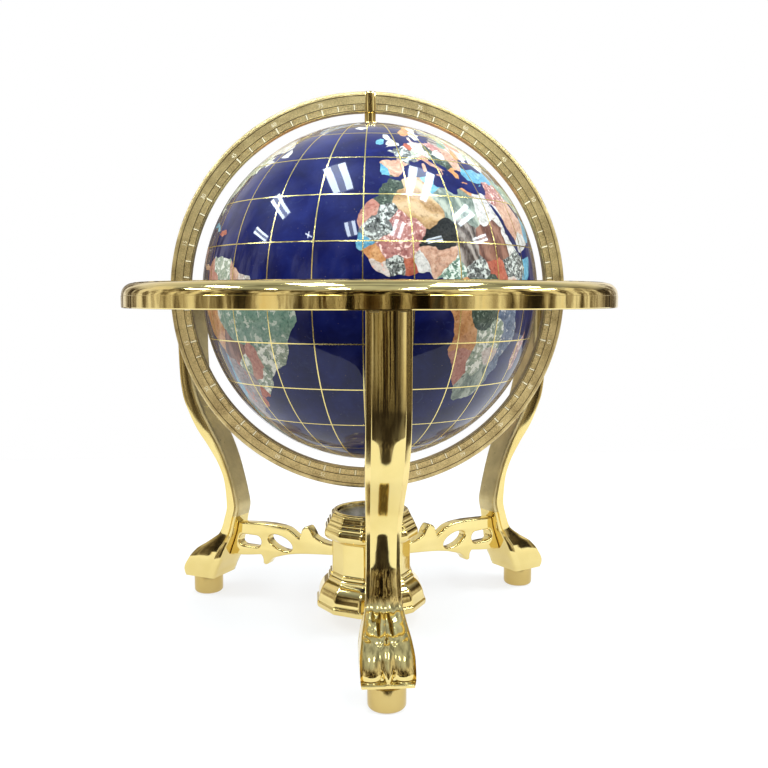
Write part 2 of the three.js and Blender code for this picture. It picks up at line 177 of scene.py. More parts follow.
def welded(verts, faces, tolerance=1e-4):
    """The same, without the faces that collapse."""
    kept, rings = weld(verts, faces, tolerance)
    return kept, [ring for ring in rings if ring]


def lathe(profile, around):
    """Turns a profile of (radius, height) about Z, from -Y. around is a number of steps, or a list
    of (angle, how far out). A profile that starts on the axis ends there too, and stays open."""
    if isinstance(around, int):
        around = [(2 * pi * s / around, 1) for s in range(around)]
    verts, faces = [], []
    count = len(profile)
    for turn, out in around:
        verts += [(r * out * sin(turn), -r * out * cos(turn), z) for r, z in profile]
    rows = count if profile[0][0] else count - 1
    for s in range(len(around)):
        here, there = s * count, ((s + 1) % len(around)) * count
        for i in range(rows):
            j = (i + 1) % count
            faces.append((here + i, there + i, there + j, here + j))
    return welded(verts, faces)


def moved(shape, matrix):
    verts, faces = shape
    return [tuple(matrix @ Vector(v)) for v in verts], faces


def turn_z(degrees):
    return Matrix.Rotation(radians(degrees), 4, "Z")


def lying(z, turn=1):
    """Lays a turning down along X at height z; turn -1 points it the other way."""
    return Matrix.Translation((0, 0, z)) @ Matrix.Rotation(turn * pi / 2, 4, "Y")


def bar(center, size, axes):
    """A box of size (a, b, c) along three unit axes: 8 verts and 6 faces."""
    c, (x, y, z) = Vector(center), axes
    verts = [
        c + x * (size[0] / 2 * i) + y * (size[1] / 2 * j) + z * (size[2] / 2 * k)
        for i in (-1, 1) for j in (-1, 1) for k in (-1, 1)
    ]
    faces = [(0, 1, 3, 2), (4, 6, 7, 5), (0, 4, 5, 1), (2, 3, 7, 6), (0, 2, 6, 4), (1, 5, 7, 3)]
    return [tuple(v) for v in verts], faces


def prism(bottom, top):
    """Joins two outlines of (x, y, z), one over the other, into a closed solid."""
    count = len(bottom)
    faces = [(i, (i + 1) % count, (i + 1) % count + count, i + count) for i in range(count)]
    return bottom + top, faces + [tuple(reversed(range(count))), tuple(range(count, 2 * count))]


def gather(parts):
    """Puts several (verts, faces) together as one."""
    verts, faces = [], []
    for part_verts, part_faces in parts:
        base = len(verts)
        verts.extend(part_verts)
        faces.extend(tuple(i + base for i in f) for f in part_faces)
    return verts, faces


# ---------------------------------------------------------------- pieces in the scene
def add_object(name, data):
    obj = bpy.data.objects.new(name, data)
    bpy.context.scene.collection.objects.link(obj)
    return obj


def build(name, shape, body, finish, stands_for=(), sharp=30, kinds=None):
    """Makes one piece of a shape in millimetres, on its CAD body and in place of its CAD nodes.
    A finish is a slot name, which is not used, then its materials; kinds gives each face its place among
    the materials."""
    verts, faces = shape
    slot, *materials = finish
    mesh = bpy.data.meshes.new(name)
    mesh.from_pydata([tuple(MM * c for c in v) for v in verts], [], faces)
    for material in materials:
        mesh.materials.append(material)
    if kinds is not None:
        mesh.polygons.foreach_set("material_index", kinds)
    bm = bmesh.new()
    bm.from_mesh(mesh)
    bmesh.ops.recalc_face_normals(bm, faces=bm.faces)
    bm.to_mesh(mesh)
    bm.free()
    mesh.polygons.foreach_set("use_smooth", [True] * len(mesh.polygons))
    mesh.set_sharp_from_angle(angle=radians(sharp))
    obj = add_object(name, mesh)
    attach(obj, body)
    if stands_for:
        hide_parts(*stands_for)
    return obj


def dress(node_name, shape, body, finish, **options):
    """Makes the piece that is seen in place of one CAD node."""
    return build(f"{node_name}_look", shape, body, finish, [node_name], **options)


def bevel(obj, width, segments=2, angle=25):
    mod = obj.modifiers.new("edge_rounding", "BEVEL")
    mod.width = width * MM
    mod.segments = segments
    mod.limit_method = "ANGLE"
    mod.angle_limit = radians(angle)
    mod.harden_normals = True


def mesh_of(name, curve):
    """The verts and faces of a curve or a text, which is then thrown away."""
    obj = add_object(name, curve)
    mesh = obj.to_mesh()
    verts = [tuple(v.co) for v in mesh.vertices]
    faces = [tuple(p.vertices) for p in mesh.polygons]
    obj.to_mesh_clear()
    bpy.data.objects.remove(obj)
    bpy.data.curves.remove(curve)
    return verts, faces


# ---------------------------------------------------------------- shading tools
def feed(tree, made, values):
    """Sets a node's inputs, each to a plain value or to another node's output."""
    for key, value in values.items():
        socket = made.inputs[key]
        if isinstance(value, bpy.types.NodeSocket):
            tree.links.new(value, socket)
        elif socket.type == "RGBA":
            socket.default_value = (*value, 1)
        else:
            socket.default_value = value


def node(tree, kind, values=None, **settings):
    made = tree.nodes.new(kind)
    for key, value in settings.items():
        setattr(made, key, value)
    feed(tree, made, values or {})
    return made


def new_material(name, values=None):
    mat = bpy.data.materials.new(name)
    mat.use_nodes = True
    shader = mat.node_tree.nodes["Principled BSDF"]
    feed(mat.node_tree, shader, values or {})
    return mat, mat.node_tree, shader


def scaled(tree, vector, scale, rotation=(0, 0, 0)):
    values = {"Vector": vector, "Scale": scale, "Rotation": rotation}
    return node(tree, "ShaderNodeMapping", values).outputs["Vector"]


def object_coords(tree, scale=(1, 1, 1), rotation=(0, 0, 0)):
    coords = node(tree, "ShaderNodeTexCoord")
    return scaled(tree, coords.outputs["Object"], scale, rotation)


def ramp(tree, fac, stops):
    made = node(tree, "ShaderNodeValToRGB", {"Fac": fac})
    elements = made.color_ramp.elements
    while len(elements) < len(stops):
        elements.new(0.5)
    for element, (position, color) in zip(elements, stops):
        element.position = position
        element.color = (*color, 1)
    return made.outputs["Color"]


def noise_fac(tree, vector, scale, detail=4, rough=0.55, distortion=0.0):
    values = {"Vector": vector, "Scale": scale, "Detail": detail, "Roughness": rough,
              "Distortion": distortion}
    return node(tree, "ShaderNodeTexNoise", values).outputs["Fac"]


def to_range(tree, fac, low, high, from_low=0.3, from_high=0.7):
    values = {"Value": fac, "From Min": from_low, "From Max": from_high, "To Min": low,
              "To Max": high}
    return node(tree, "ShaderNodeMapRange", values).outputs["Result"]


def mix(tree, fac, a, b):
    """Colour a, and b where fac is 1."""
    return node(tree, "ShaderNodeMix", {0: fac, 6: a, 7: b}, data_type="RGBA").outputs[2]


def cover(tree, color, over, fac, amount=1, start=0.3, end=0.7):
    """Lays one colour over another, from none of it to amount as fac goes from start to end."""
    return mix(tree, to_range(tree, fac, 0, amount, start, end), color, over)


def bump(tree, height, distance, under=None):
    values = {"Height": height, "Distance": distance}
    if under is not None:
        values["Normal"] = under
    return node(tree, "ShaderNodeBump", values).outputs["Normal"]


def shade(color, by):
    return tuple(c * by for c in color)


# ---------------------------------------------------------------- materials
def surface(tree, shader, metallic, color, grain, rough, depth):
    """A finish whose grain varies its gloss and its height."""
    feed(tree, shader, {"Metallic": metallic, "Base Color": color,
                        "Roughness": to_range(tree, grain, *rough),
                        "Normal": bump(tree, grain, depth)})


def polished_gold(name, color=(0.83, 0.675, 0.285), rough=(0.03, 0.09), wave=0.00016, metallic=1):
    """Mirror plating over a hand-polished casting: slow waves, fine rub marks, tarnish clouds."""
    mat, tree, shader = new_material(name)
    at = object_coords(tree)
    clouds = noise_fac(tree, at, 22, 3)
    rubbed = noise_fac(tree, object_coords(tree, (1, 1, 0.12), (0.3, 0.2, 0)), 900, 2)
    deep = tuple(c * f for c, f in zip(color, (0.92, 0.88, 0.78)))
    waves = bump(tree, noise_fac(tree, at, 38, 2), wave)
    feed(tree, shader, {
        "Metallic": metallic, "Base Color": cover(tree, color, deep, clouds),
        "Roughness": to_range(tree, mix(tree, 0.5, clouds, rubbed), *rough),
        "Normal": bump(tree, rubbed, 0.000006, under=waves),
    })
    return mat


def antique_gold(name, color=(0.77, 0.60, 0.29), dark=(0.29, 0.20, 0.075), rim=None):
    """Satin plating on a grained casting, darker where polish doesn't reach; rim gives two
    distances from the ball's centre, between which painted shade darkens a ring towards its outer edge."""
    mat, tree, shader = new_material(name)
    at = object_coords(tree)
    grain = noise_fac(tree, at, 700, 5, 0.7)
    tone = cover(tree, color, dark, grain, 0.85, 0.40, 0.60)
    # painted shade: between the two distances in rim, the colour darkens towards the ring's outer edge
    if rim:
        ends = {0: at, 1: GLOBE_AT}
        out = node(tree, "ShaderNodeVectorMath", ends, operation="DISTANCE").outputs["Value"]
        tone = cover(tree, tone, dark, out, 0.75, rim[0] * MM, rim[1] * MM)
    bright = tuple(min(1, c * 1.35) for c in color)
    tone = cover(tree, tone, bright, noise_fac(tree, at, 60, 4), 0.6)
    surface(tree, shader, 0.88, tone, grain, (0.3, 0.52), 0.00012)
    return mat


def rough_cast(name, color=(0.78, 0.65, 0.33)):
    """The unpolished inner face of a casting: pitted, with a satin plating."""
    mat, tree, shader = new_material(name)
    at = object_coords(tree)
    tone = cover(tree, color, shade(color, 0.62), noise_fac(tree, at, 45, 3), 0.8)
    surface(tree, shader, 0.65, tone, noise_fac(tree, at, 260, 6, 0.65), (0.26, 0.48), 0.0005)
    return mat


def dull_steel(name, color=(0.5, 0.5, 0.52)):
    mat, tree, shader = new_material(name)
    brushed = noise_fac(tree, object_coords(tree, (1, 1, 0.15)), 1500, 3)
    tone = cover(tree, color, shade(color, 0.6), brushed, 0.6)
    surface(tree, shader, 1, tone, brushed, (0.22, 0.42), 0.00003)
    return mat


def flat_finish(name, color, rough, grain_scale=400, depth=0.00004, metallic=0.0):
    mat, tree, shader = new_material(name)
    grain = noise_fac(tree, object_coords(tree), grain_scale)
    tone = cover(tree, color, shade(color, 0.8), grain)
    surface(tree, shader, metallic, tone, grain, (rough * 0.85, rough * 1.15), depth)
    return mat


def clear_glass(name):
    mat, tree, shader = new_material(name)
    smears = noise_fac(tree, object_coords(tree), 120, 3)
    feed(tree, shader, {"Base Color": (0.95, 0.99, 0.98), "Transmission Weight": 1, "IOR": 1.45,
                        "Roughness": to_range(tree, smears, 0.0, 0.04)})
    return mat


def lacquer(tree, shader, color, rough):
    """The clear gloss coat over the ball, a little uneven from hand polishing, with no second
    gloss from the stone under it."""
    feed(tree, shader, {
        "Base Color": color, "Roughness": rough, "Specular IOR Level": 0.05, "Coat Weight": 1,
        "Coat Roughness": 0.015, "Coat IOR": 1.35,
        "Coat Normal": bump(tree, noise_fac(tree, object_coords(tree), 26, 2), 0.00012),
    })


def lapis(name):
    """Deep blue stone in cut tiles, with paler clouds, dark veins and a few gold flecks."""
    mat, tree, shader = new_material(name)
    at = object_coords(tree)
    color = ramp(tree, noise_fac(tree, at, 34, 6, 0.6, 0.4), [
        (0.30, (0.002, 0.003, 0.040)), (0.50, (0.004, 0.007, 0.078)),
        (0.66, (0.008, 0.014, 0.115)), (0.80, (0.02, 0.03, 0.16)),
    ])
    tile = node(tree, "ShaderNodeAttribute", attribute_name=TILE_TONE).outputs["Fac"]
    color = cover(tree, color, (0.003, 0.005, 0.035), tile, 0.45, 0, 1)
    veins = noise_fac(tree, at, 90, 5, 0.7, 1.2)
    color = cover(tree, color, (0.018, 0.026, 0.10), veins, 0.8, 0.60, 0.72)
    flecks = noise_fac(tree, at, 700, 2, 0.5)
    color = cover(tree, color, (0.35, 0.27, 0.12), flecks, 0.6, 0.74, 0.78)
    lacquer(tree, shader, color, 0.35)
    return mat


def stone(name, colors, scale=45, spots=None, stripes=None):
    """One kind of inlaid stone, marbled or striped; STONE_KINDS says what its numbers mean."""
    mat, tree, shader = new_material(name)
    at = object_coords(tree, (1, 1, stripes or 1), (0.4, 0.7, 0.2))
    colors = [shade(color, STONE_DEPTH) for color in colors]
    if stripes:
        scale *= 1.3
        wave = node(tree, "ShaderNodeTexWave", {
            "Vector": at, "Scale": scale, "Distortion": 7, "Detail": 4, "Detail Scale": 1.6,
        }, bands_direction="DIAGONAL")
        fac = mix(tree, 0.45, wave.outputs["Fac"], noise_fac(tree, at, scale * 3, 5))
    else:
        fac = noise_fac(tree, at, scale * 1.7, 8, 0.62, 1.6)
    stops = [(lerp(0.3, 0.72, i / (len(colors) - 1)), c) for i, c in enumerate(colors)]
    color = ramp(tree, fac, stops)
    if spots:
        spot_color, amount, spot_scale = spots
        blots = noise_fac(tree, at, 1.6 * spot_scale, 3, 0.65, 0.3)
        edge = 0.62 - 0.2 * amount
        color = cover(tree, color, spot_color, blots, 1, edge, edge + 0.035)
    grains = noise_fac(tree, at, 260, 4, 0.75)
    color = cover(tree, color, shade(colors[0], 0.45), grains, 0.6, 0.54, 0.64)
    crystal = noise_fac(tree, at, 420, 4, 0.7)
    glint = tuple(min(1, c * 1.5 + 0.04) for c in colors[-1])
    color = cover(tree, color, glint, crystal, 0.28, 0.4, 0.7)
    lacquer(tree, shader, color, 0.3)
    return mat


GOLD = ("polished_gold", polished_gold("polished_gold"))
LEG_GOLD = polished_gold("leg_gold", rough=(0.06, 0.13), wave=0.0001)
EDGE_GOLD = polished_gold("edge_gold", (0.90, 0.73, 0.33), (0.12, 0.22), 0.0001)
CAST = rough_cast("cast_gold")
LEG = ("polished_gold", LEG_GOLD, EDGE_GOLD, CAST)
WORN_GOLD = ("polished_gold", polished_gold("worn_gold", (0.60, 0.45, 0.17), (0.07, 0.24), 0.0003))
WIRE = ("polished_gold", polished_gold("graticule_brass", (0.86, 0.72, 0.30), (0.18, 0.3), 0.00001))
# Dark patina for the ring's grooves, also laid under the scale's marks as painted shadow
PATINA_AND_SHADOW = antique_gold("engraved_patina_and_shadow", (0.20, 0.145, 0.065), (0.10, 0.07, 0.03))
# The meridian ring's outer band carries painted shade, darker towards its outer edge
RING_GOLD = antique_gold("ring_gold", rim=(MERIDIAN_INNER + 7, MERIDIAN_OUTER))
SCALE_GOLD = polished_gold("scale_gold", (0.98, 0.90, 0.64), (0.35, 0.5), 0.00002, 0.1)
STEEL = ("plain_steel", dull_steel("plain_steel"))
CORE = flat_finish("moulded_core", (0.60, 0.55, 0.46), 0.7)
DIAL = ("compass_dial", flat_finish("dial_grey", (0.23, 0.255, 0.26), 0.4, 600, 0.00002, 0.1))
DIAL_MARKS = ("compass_dial", flat_finish("dial_marks", (0.03, 0.03, 0.035), 0.5))
NEEDLE_BLUE = ("needle_steel", dull_steel("needle_blue", (0.05, 0.08, 0.22)))
NEEDLE_PALE = ("needle_steel", dull_steel("needle_pale", (0.75, 0.75, 0.72)))
GLASS = ("clear_glass", clear_glass("compass_glass"))

# Colours from dark to pale, the fineness of the pattern, then spots as (colour, amount, fineness),
# and for a striped stone how much its stripes are stretched upwards
STONE_KINDS = {
    "sand": ([(0.36, 0.20, 0.08), (0.55, 0.34, 0.15), (0.66, 0.47, 0.27)], 14, None, 1),
    "fossil": ([(0.15, 0.12, 0.12), (0.30, 0.25, 0.25), (0.46, 0.41, 0.41)], 60,
               ((0.42, 0.13, 0.08), 0.15, 60)),
    "rhodonite": ([(0.22, 0.06, 0.06), (0.42, 0.16, 0.14), (0.58, 0.31, 0.26)], 70,
                  ((0.72, 0.52, 0.46), 0.35, 150)),
    "dalmatian": ([(0.42, 0.44, 0.38), (0.66, 0.70, 0.64), (0.80, 0.82, 0.77)], 60,
                  ((0.018, 0.02, 0.018), 0.9, 170)),
    "moss": ([(0.015, 0.03, 0.02), (0.05, 0.075, 0.055), (0.12, 0.15, 0.11)], 70,
             ((0.2, 0.24, 0.18), 0.2, 160)),
    "turquoise": ([(0.05, 0.21, 0.36), (0.11, 0.36, 0.51), (0.26, 0.53, 0.64)], 60),
    "labradorite": ([(0.13, 0.17, 0.14), (0.28, 0.34, 0.28), (0.45, 0.49, 0.40)], 22,
                    ((0.10, 0.13, 0.11), 0.4, 120), 0.35),
    "onyx": ([(0.004, 0.005, 0.005), (0.012, 0.014, 0.013), (0.03, 0.03, 0.025)],),
    "peach": ([(0.36, 0.17, 0.11), (0.58, 0.32, 0.21), (0.78, 0.57, 0.43)], 38),
    "brick": ([(0.11, 0.04, 0.028), (0.21, 0.085, 0.055), (0.31, 0.15, 0.10)], 30, None, 0.25),
    "jade": ([(0.07, 0.18, 0.13), (0.18, 0.31, 0.23), (0.38, 0.46, 0.37)], 30,
             ((0.48, 0.50, 0.42), 0.3, 70)),
    "howlite": ([(0.35, 0.33, 0.30), (0.66, 0.63, 0.58), (0.85, 0.83, 0.79)], 50,
                ((0.30, 0.24, 0.18), 0.12, 90)),
    "jasper": ([(0.28, 0.05, 0.03), (0.46, 0.11, 0.06), (0.55, 0.20, 0.12)], 55),
    "zebra": ([(0.05, 0.035, 0.03), (0.17, 0.13, 0.11), (0.38, 0.33, 0.29)], 38, None, 0.3),
    "carnelian": ([(0.42, 0.15, 0.05), (0.62, 0.28, 0.10), (0.74, 0.42, 0.20)], 40),
    "unakite": ([(0.10, 0.17, 0.12), (0.33, 0.40, 0.29), (0.60, 0.58, 0.46)], 65,
                ((0.70, 0.70, 0.62), 0.5, 110)),
    "emerald": ([(0.03, 0.09, 0.06), (0.10, 0.22, 0.15), (0.45, 0.55, 0.46)], 90,
                ((0.62, 0.68, 0.60), 0.6, 190)),
    "sodalite": ([(0.05, 0.07, 0.14), (0.13, 0.18, 0.28), (0.34, 0.38, 0.46)], 45,
                 ((0.5, 0.5, 0.5), 0.2, 90)),
    "salmon": ([(0.36, 0.12, 0.09), (0.52, 0.22, 0.16), (0.62, 0.36, 0.27)], 42),
    "pearl": ([(0.44, 0.32, 0.26), (0.64, 0.54, 0.47), (0.84, 0.77, 0.71)], 55,
              ((0.60, 0.30, 0.22), 0.25, 100)),
}
STONES = {"lapis": lapis("stone_lapis")}
for kind, recipe in STONE_KINDS.items():
    STONES[kind] = stone(f"stone_{kind}", *recipe)

# ---------------------------------------------------------------- the map on the ball
# Coasts in degrees of longitude and latitude. Land inside land, such as an inland sea, cuts it out.
COASTS = {
    "africa": [
        (-5.9, 35.8), (-2, 35.1), (1, 36.4), (5, 36.8), (9.8, 37.3), (11, 37), (10.6, 35.5), (10.1, 34),
        (11.2, 33.2), (13.2, 32.9), (15.3, 32.3), (18, 30.6), (20, 31), (20.1, 32.3), (22.5, 32.8),
        (25, 31.7), (29, 30.9), (31, 31.5), (32.5, 31.2), (32.6, 29.9), (33.6, 27.8), (35.5, 24),
        (37.2, 21), (37.4, 19), (39.5, 15.5), (41.5, 13.5), (43.2, 11.9), (44.5, 10.4), (48, 11.2),
        (51.2, 11.9), (50.8, 9.5), (49, 6), (46.5, 2.8), (43, -0.5), (41, -2), (39.3, -5), (39.5, -8),
        (40.5, -10.7), (40.7, -15), (37, -17.8), (34.9, -20), (35.5, -23.5), (32.8, -26),
        (32.4, -28.5), (30.5, -31), (27.5, -33.3), (24, -34.1), (20, -34.8), (18.4, -34.1),
        (18.2, -31.7), (16.5, -28.6), (15.2, -26.5), (14.5, -22.8), (12.5, -18.5), (11.8, -16.5),
        (13.5, -12.5), (13, -9), (12.2, -5.9), (11.1, -3.9), (9, -1), (9.5, 1.2), (9.8, 3.5),
        (8.8, 4.6), (6.2, 4.3), (4.4, 6.3), (1.2, 6.1), (-2, 4.8), (-4.5, 5.2), (-7.6, 4.4),
        (-9.8, 5.8), (-11.5, 6.9), (-13.2, 8.8), (-14.7, 10.8), (-16.8, 12.6), (-17.4, 14.7),
        (-16.4, 16.5), (-16.2, 19.2), (-17, 21), (-16, 23.8), (-14.5, 26.2), (-12.9, 27.9),
        (-10.2, 29.4), (-9.7, 31.4), (-8.3, 33.4), (-6.8, 34.1),
    ],
    "eurasia": [
        (-5.6, 36.1), (-6.4, 36.9), (-8.9, 37), (-9.4, 38.7), (-8.8, 41.2), (-9.2, 43.1), (-8, 43.7),
        (-4, 43.4), (-1.7, 43.4), (-1.2, 45.5), (-2.2, 47.2), (-4.6, 48.1), (-3.5, 48.8), (-1.6, 48.7),
        (-1.6, 49.6), (0.2, 49.6), (1.6, 50.6), (3.5, 51.5), (4.7, 53), (7, 53.6), (8.6, 53.9),
        (8.2, 56), (8.6, 57.1), (10.6, 57.6), (10.3, 56.5), (10, 54.8), (11, 54), (14.2, 54),
        (18.5, 54.7), (20, 54.9), (21.1, 56.8), (24.4, 57.5), (23.6, 59.2), (28, 59.6), (29.8, 59.9),
        (28.5, 60.6), (25, 60.2), (22.3, 60.2), (21.4, 61.5), (22, 63.3), (25.3, 65), (24, 65.8),
        (21.5, 64.5), (18.5, 62.5), (17.2, 60.7), (18.8, 59.8), (16.6, 58), (16.4, 56.5), (14.3, 55.6),
        (12.8, 55.5), (11.9, 57.6), (10.8, 59.2), (8.5, 58.2), (5.6, 58.8), (5, 61.5), (8.5, 63.4),
        (12.5, 66), (15.5, 68.3), (19.5, 69.9), (25.8, 71), (30.8, 70.3), (33.5, 69.4), (40.5, 67.8),
        (40.8, 66.4), (34.5, 66.7), (34.8, 64.5), (38, 63.9), (40.3, 64.7), (43.5, 66.3), (46.5, 68),
        (53.5, 68.5), (60.5, 69.5), (68.5, 68.3), (67, 71.5), (70, 73.3), (73, 71.5), (75.5, 72.5),
        (80.5, 73.6), (87, 75), (98, 76.3), (104.3, 77.7), (112.5, 76), (110, 73.9), (120, 73),
        (129, 71.5), (131.5, 70.8), (140, 72.6), (150.5, 71.6), (160.5, 69.7), (170, 69.8),
        (180, 68.9), (180, 65), (177.5, 64.6), (178.7, 62.5), (172, 60.9), (166, 60), (163.2, 58),
        (162.8, 56), (160, 53.2), (156.8, 51.2), (155.8, 55), (158.5, 58), (163.5, 61.8),
        (158.5, 61.9), (152, 59.2), (143.5, 59.3), (137, 54.5), (141, 52.8), (140.4, 48.5),
        (135.5, 44.2), (131.5, 43.2), (129.7, 41.5), (127.5, 39.5), (129.3, 37), (129.1, 35.3),
        (126.5, 34.5), (126.6, 37), (124.8, 39.6), (121.5, 39), (121.8, 40.7), (118.5, 39.1),
        (119, 37.3), (122.4, 37.2), (119.5, 35.3), (121.8, 32), (121.5, 29.5), (119.5, 25.8),
        (117, 23.5), (113.8, 22.2), (110.3, 21.2), (108.3, 21.6), (105.8, 19), (108.8, 15.4),
        (109.2, 12), (106.8, 10.3), (104.8, 8.8), (104.9, 10.3), (102.6, 12), (100.5, 13.4),
        (99.9, 11), (100.6, 7.2), (103.4, 4), (104.2, 1.4), (101.3, 2.8), (100.3, 6), (98.3, 8),
        (98.6, 12), (97.6, 16.3), (94.3, 16), (92.3, 20.8), (90.5, 22.5), (87, 21.3), (84.8, 19.2),
        (80.3, 15.5), (80.2, 12.5), (79.2, 10.2), (77.6, 8.1), (76.2, 10.5), (74.2, 14.8), (72.8, 19),
        (72.7, 21.5), (70, 20.9), (68.5, 23.4), (66.7, 25.2), (61.6, 25.1), (57, 26.8), (54, 26.6),
        (50.8, 29.2), (48.8, 30.3), (48, 29.6), (50.2, 26.5), (51.5, 25), (54.5, 24.2), (56.3, 26.2),
        (57, 24), (59.8, 22.5), (57.8, 19), (55, 17), (51.5, 15.3), (45, 12.8), (43.3, 12.7),
        (42.7, 16.3), (39.2, 20.8), (37, 25), (34.9, 28.6), (34.9, 29.4), (34.3, 27.8), (33.3, 29.4),
        (33, 31.1), (34.2, 31.3), (35.5, 33.8), (36, 36.3), (32.5, 36.1), (30.5, 36.6), (27.5, 36.8),
        (26.3, 38.8), (26, 40.7), (23.8, 40.7), (22.8, 40.3), (24, 38.2), (23, 36.5), (21.6, 37),
        (21.2, 38.6), (19.5, 40.6), (19.4, 41.9), (16.5, 43.4), (14, 45), (12.4, 45.3), (12.5, 44),
        (14.2, 42.4), (16.2, 41.8), (18.5, 40.2), (17, 40.5), (16.6, 38.5), (15.7, 38), (16, 39.5),
        (14.8, 40.6), (12.2, 41.8), (10.3, 43.5), (8.8, 44.4), (6.5, 43.1), (3.1, 43.2), (3.2, 41.9),
        (0.8, 40.8), (-0.3, 39.4), (0.1, 38.7), (-0.8, 37.7), (-2.2, 36.8), (-4.6, 36.6),
    ],
    "black_sea": [
        (28, 43), (28.8, 41.5), (31.3, 41.2), (35, 42), (38, 41), (41.5, 41.5), (39.5, 43.6),
        (37.3, 44.9), (38.2, 47), (35.2, 46.2), (35.2, 45.2), (33.5, 44.6), (32.6, 45.5), (33.3, 46.1),
        (30.8, 46.5), (29, 45),
    ],
    "caspian_sea": [
        (47, 44.8), (48.5, 42), (49.4, 40.2), (48.9, 38.2), (51, 36.8), (53.8, 37), (53.2, 40),
        (52.6, 41.8), (51, 44.5), (53, 46.8), (49.5, 46.4),
    ],
    "britain": [
        (-5.6, 50.1), (-3.2, 50.7), (1.3, 51.1), (1.7, 52.7), (0.2, 53.3), (-1.6, 55.3), (-2, 57.6),
        (-3.1, 58.6), (-5.2, 58.4), (-5.8, 56.5), (-4.9, 54.8), (-3.2, 54.2), (-4.4, 53.2),
        (-4.8, 52), (-3.2, 51.3),
    ],
    "ireland": [
        (-6.2, 52.2), (-6, 53.6), (-5.6, 54.6), (-7.5, 55.3), (-9.9, 54), (-10.2, 52), (-8.5, 51.6),
    ],
    "iceland": [
        (-22.5, 64), (-18.5, 63.4), (-14, 64.6), (-15, 66.2), (-18.5, 66.1), (-21.5, 66.4),
        (-24.2, 65.5),
    ],
    "greenland": [
        (-44, 59.9), (-50, 62.5), (-53.5, 67), (-54.5, 70.5), (-60, 75.5), (-71, 77.5), (-66, 80.5),
        (-45, 82.5), (-22, 82.5), (-18, 79.5), (-20, 75), (-24, 71), (-32, 68.2), (-40, 65.3),
    ],
    "svalbard": [(12, 79.5), (20, 80.3), (24, 79.2), (17, 76.7)],
    "sicily": [(12.5, 38), (15.5, 38.2), (15.1, 36.7)],
    "sardinia": [(8.4, 39), (8.3, 42.4), (9.6, 42.6), (9.6, 39.2)],
    "crete": [(23.6, 35.3), (26.2, 35.4), (26.1, 34.9), (23.7, 35)],
    "cyprus": [(32.4, 35), (34.4, 35.6), (33.6, 34.7)],
    "madagascar": [
        (49.2, -12.1), (50.4, -15.8), (47.2, -24.9), (45.1, -25.5), (43.4, -22), (44.4, -16.2),
        (47.5, -14.8),
    ],
    "sri_lanka": [(79.9, 9.7), (81.9, 7), (80.5, 6), (79.8, 7.5)],
    "sumatra": [(95.3, 5.5), (100.5, 2.5), (106, -3.2), (105.6, -5.8), (102, -4), (98.7, 1.5)],
    "java": [(105.3, -6.8), (108.5, -6.6), (114.4, -7.7), (114.3, -8.6), (108, -7.8)],
    "borneo": [
        (109, 1.7), (111.3, 2.4), (114, 4.7), (117, 7), (119.2, 5.2), (117.8, 1), (116, -3.8),
        (112, -3.3), (110, -1.5),
    ],
    "sulawesi": [
        (119.5, -5.4), (119, -3), (119.8, 0.5), (121, 1.4), (125, 1.5), (121, 0.3), (121.5, -1),
        (123, -0.9), (122.3, -5), (121, -3),
    ],
    "new_guinea": [
        (131, -0.9), (134, -0.9), (138, -1.7), (144.5, -3.9), (147.8, -6), (150.6, -10.5),
        (147, -9.5), (143.5, -8.6), (138.5, -8.2), (137.8, -5.3), (133, -4), (132.2, -2.5),
    ],
    "luzon": [(120.4, 16), (120.8, 18.5), (122.2, 18.3), (122, 15), (124, 13), (120.8, 13.9)],
    "mindanao": [(122, 7), (123.5, 8.7), (126.3, 9.2), (125.6, 5.8)],
    "honshu": [
        (130, 33.5), (130.3, 31.3), (131.7, 32), (135.8, 33.6), (139.8, 35), (141, 36.5),
        (142, 39.6), (141.3, 41.4), (139.8, 38.8), (136.8, 37.2), (133, 35.5), (131, 34.3),
    ],
    "hokkaido": [(140, 41.7), (143.3, 42), (145.5, 43.3), (141.8, 45.4), (140.4, 43.2)],
    "taiwan": [(120.2, 23), (121.5, 25.2), (120.9, 22)],
    "sakhalin": [(142, 46.2), (143.6, 49.5), (143.2, 52), (142.6, 54.3), (142, 50)],
    "australia": [
        (114.2, -22), (113.5, -26), (115.7, -31.8), (115.1, -34.3), (118, -35), (123.5, -33.9),
        (126, -32.3), (131, -31.5), (135.2, -34.6), (137.8, -33), (138.2, -35.6), (140.5, -38),
        (144, -38.4), (146.4, -39), (150, -37.4), (152.5, -32.5), (153.5, -28.2), (150.8, -23.3),
        (146.5, -19), (145.3, -15), (143, -11.2), (141.6, -14), (140.8, -17.5), (137, -15.8),
        (136.6, -12.2), (132.6, -11.5), (129.6, -15), (126, -14.2), (122.2, -17.9), (119, -20),
    ],
    "tasmania": [(144.7, -40.7), (148.3, -41), (147, -43.5), (145.5, -42.7)],
    "new_zealand_north": [
        (172.8, -34.6), (175.5, -36.5), (178.4, -37.8), (175.3, -41.5), (173.9, -39.3),
        (174.7, -37.5),
    ],
    "new_zealand_south": [
        (172.8, -40.7), (174.2, -41.7), (170.8, -45.8), (168.4, -46.6), (166.6, -45.8),
        (171.2, -42.5),
    ],
    "chukotka_tip": [(-180, 68.9), (-175, 67.5), (-170.2, 66.1), (-173, 64.3), (-180, 65)],
    "americas": [
        (-168, 65.6), (-161.5, 66.3), (-166.5, 68.3), (-156.5, 71.3), (-141, 69.6), (-128, 70.3),
        (-115, 68), (-108, 68), (-96, 68.3), (-94, 71.8), (-88, 68.5), (-82, 69.5), (-81.5, 67.5),
        (-87, 64.5), (-94, 61), (-94.5, 58.8), (-92.5, 57), (-82.3, 55.2), (-82.2, 52.9),
        (-79.5, 51.3), (-79, 54.5), (-76.8, 57), (-78, 60.5), (-77.5, 62.5), (-70, 61),
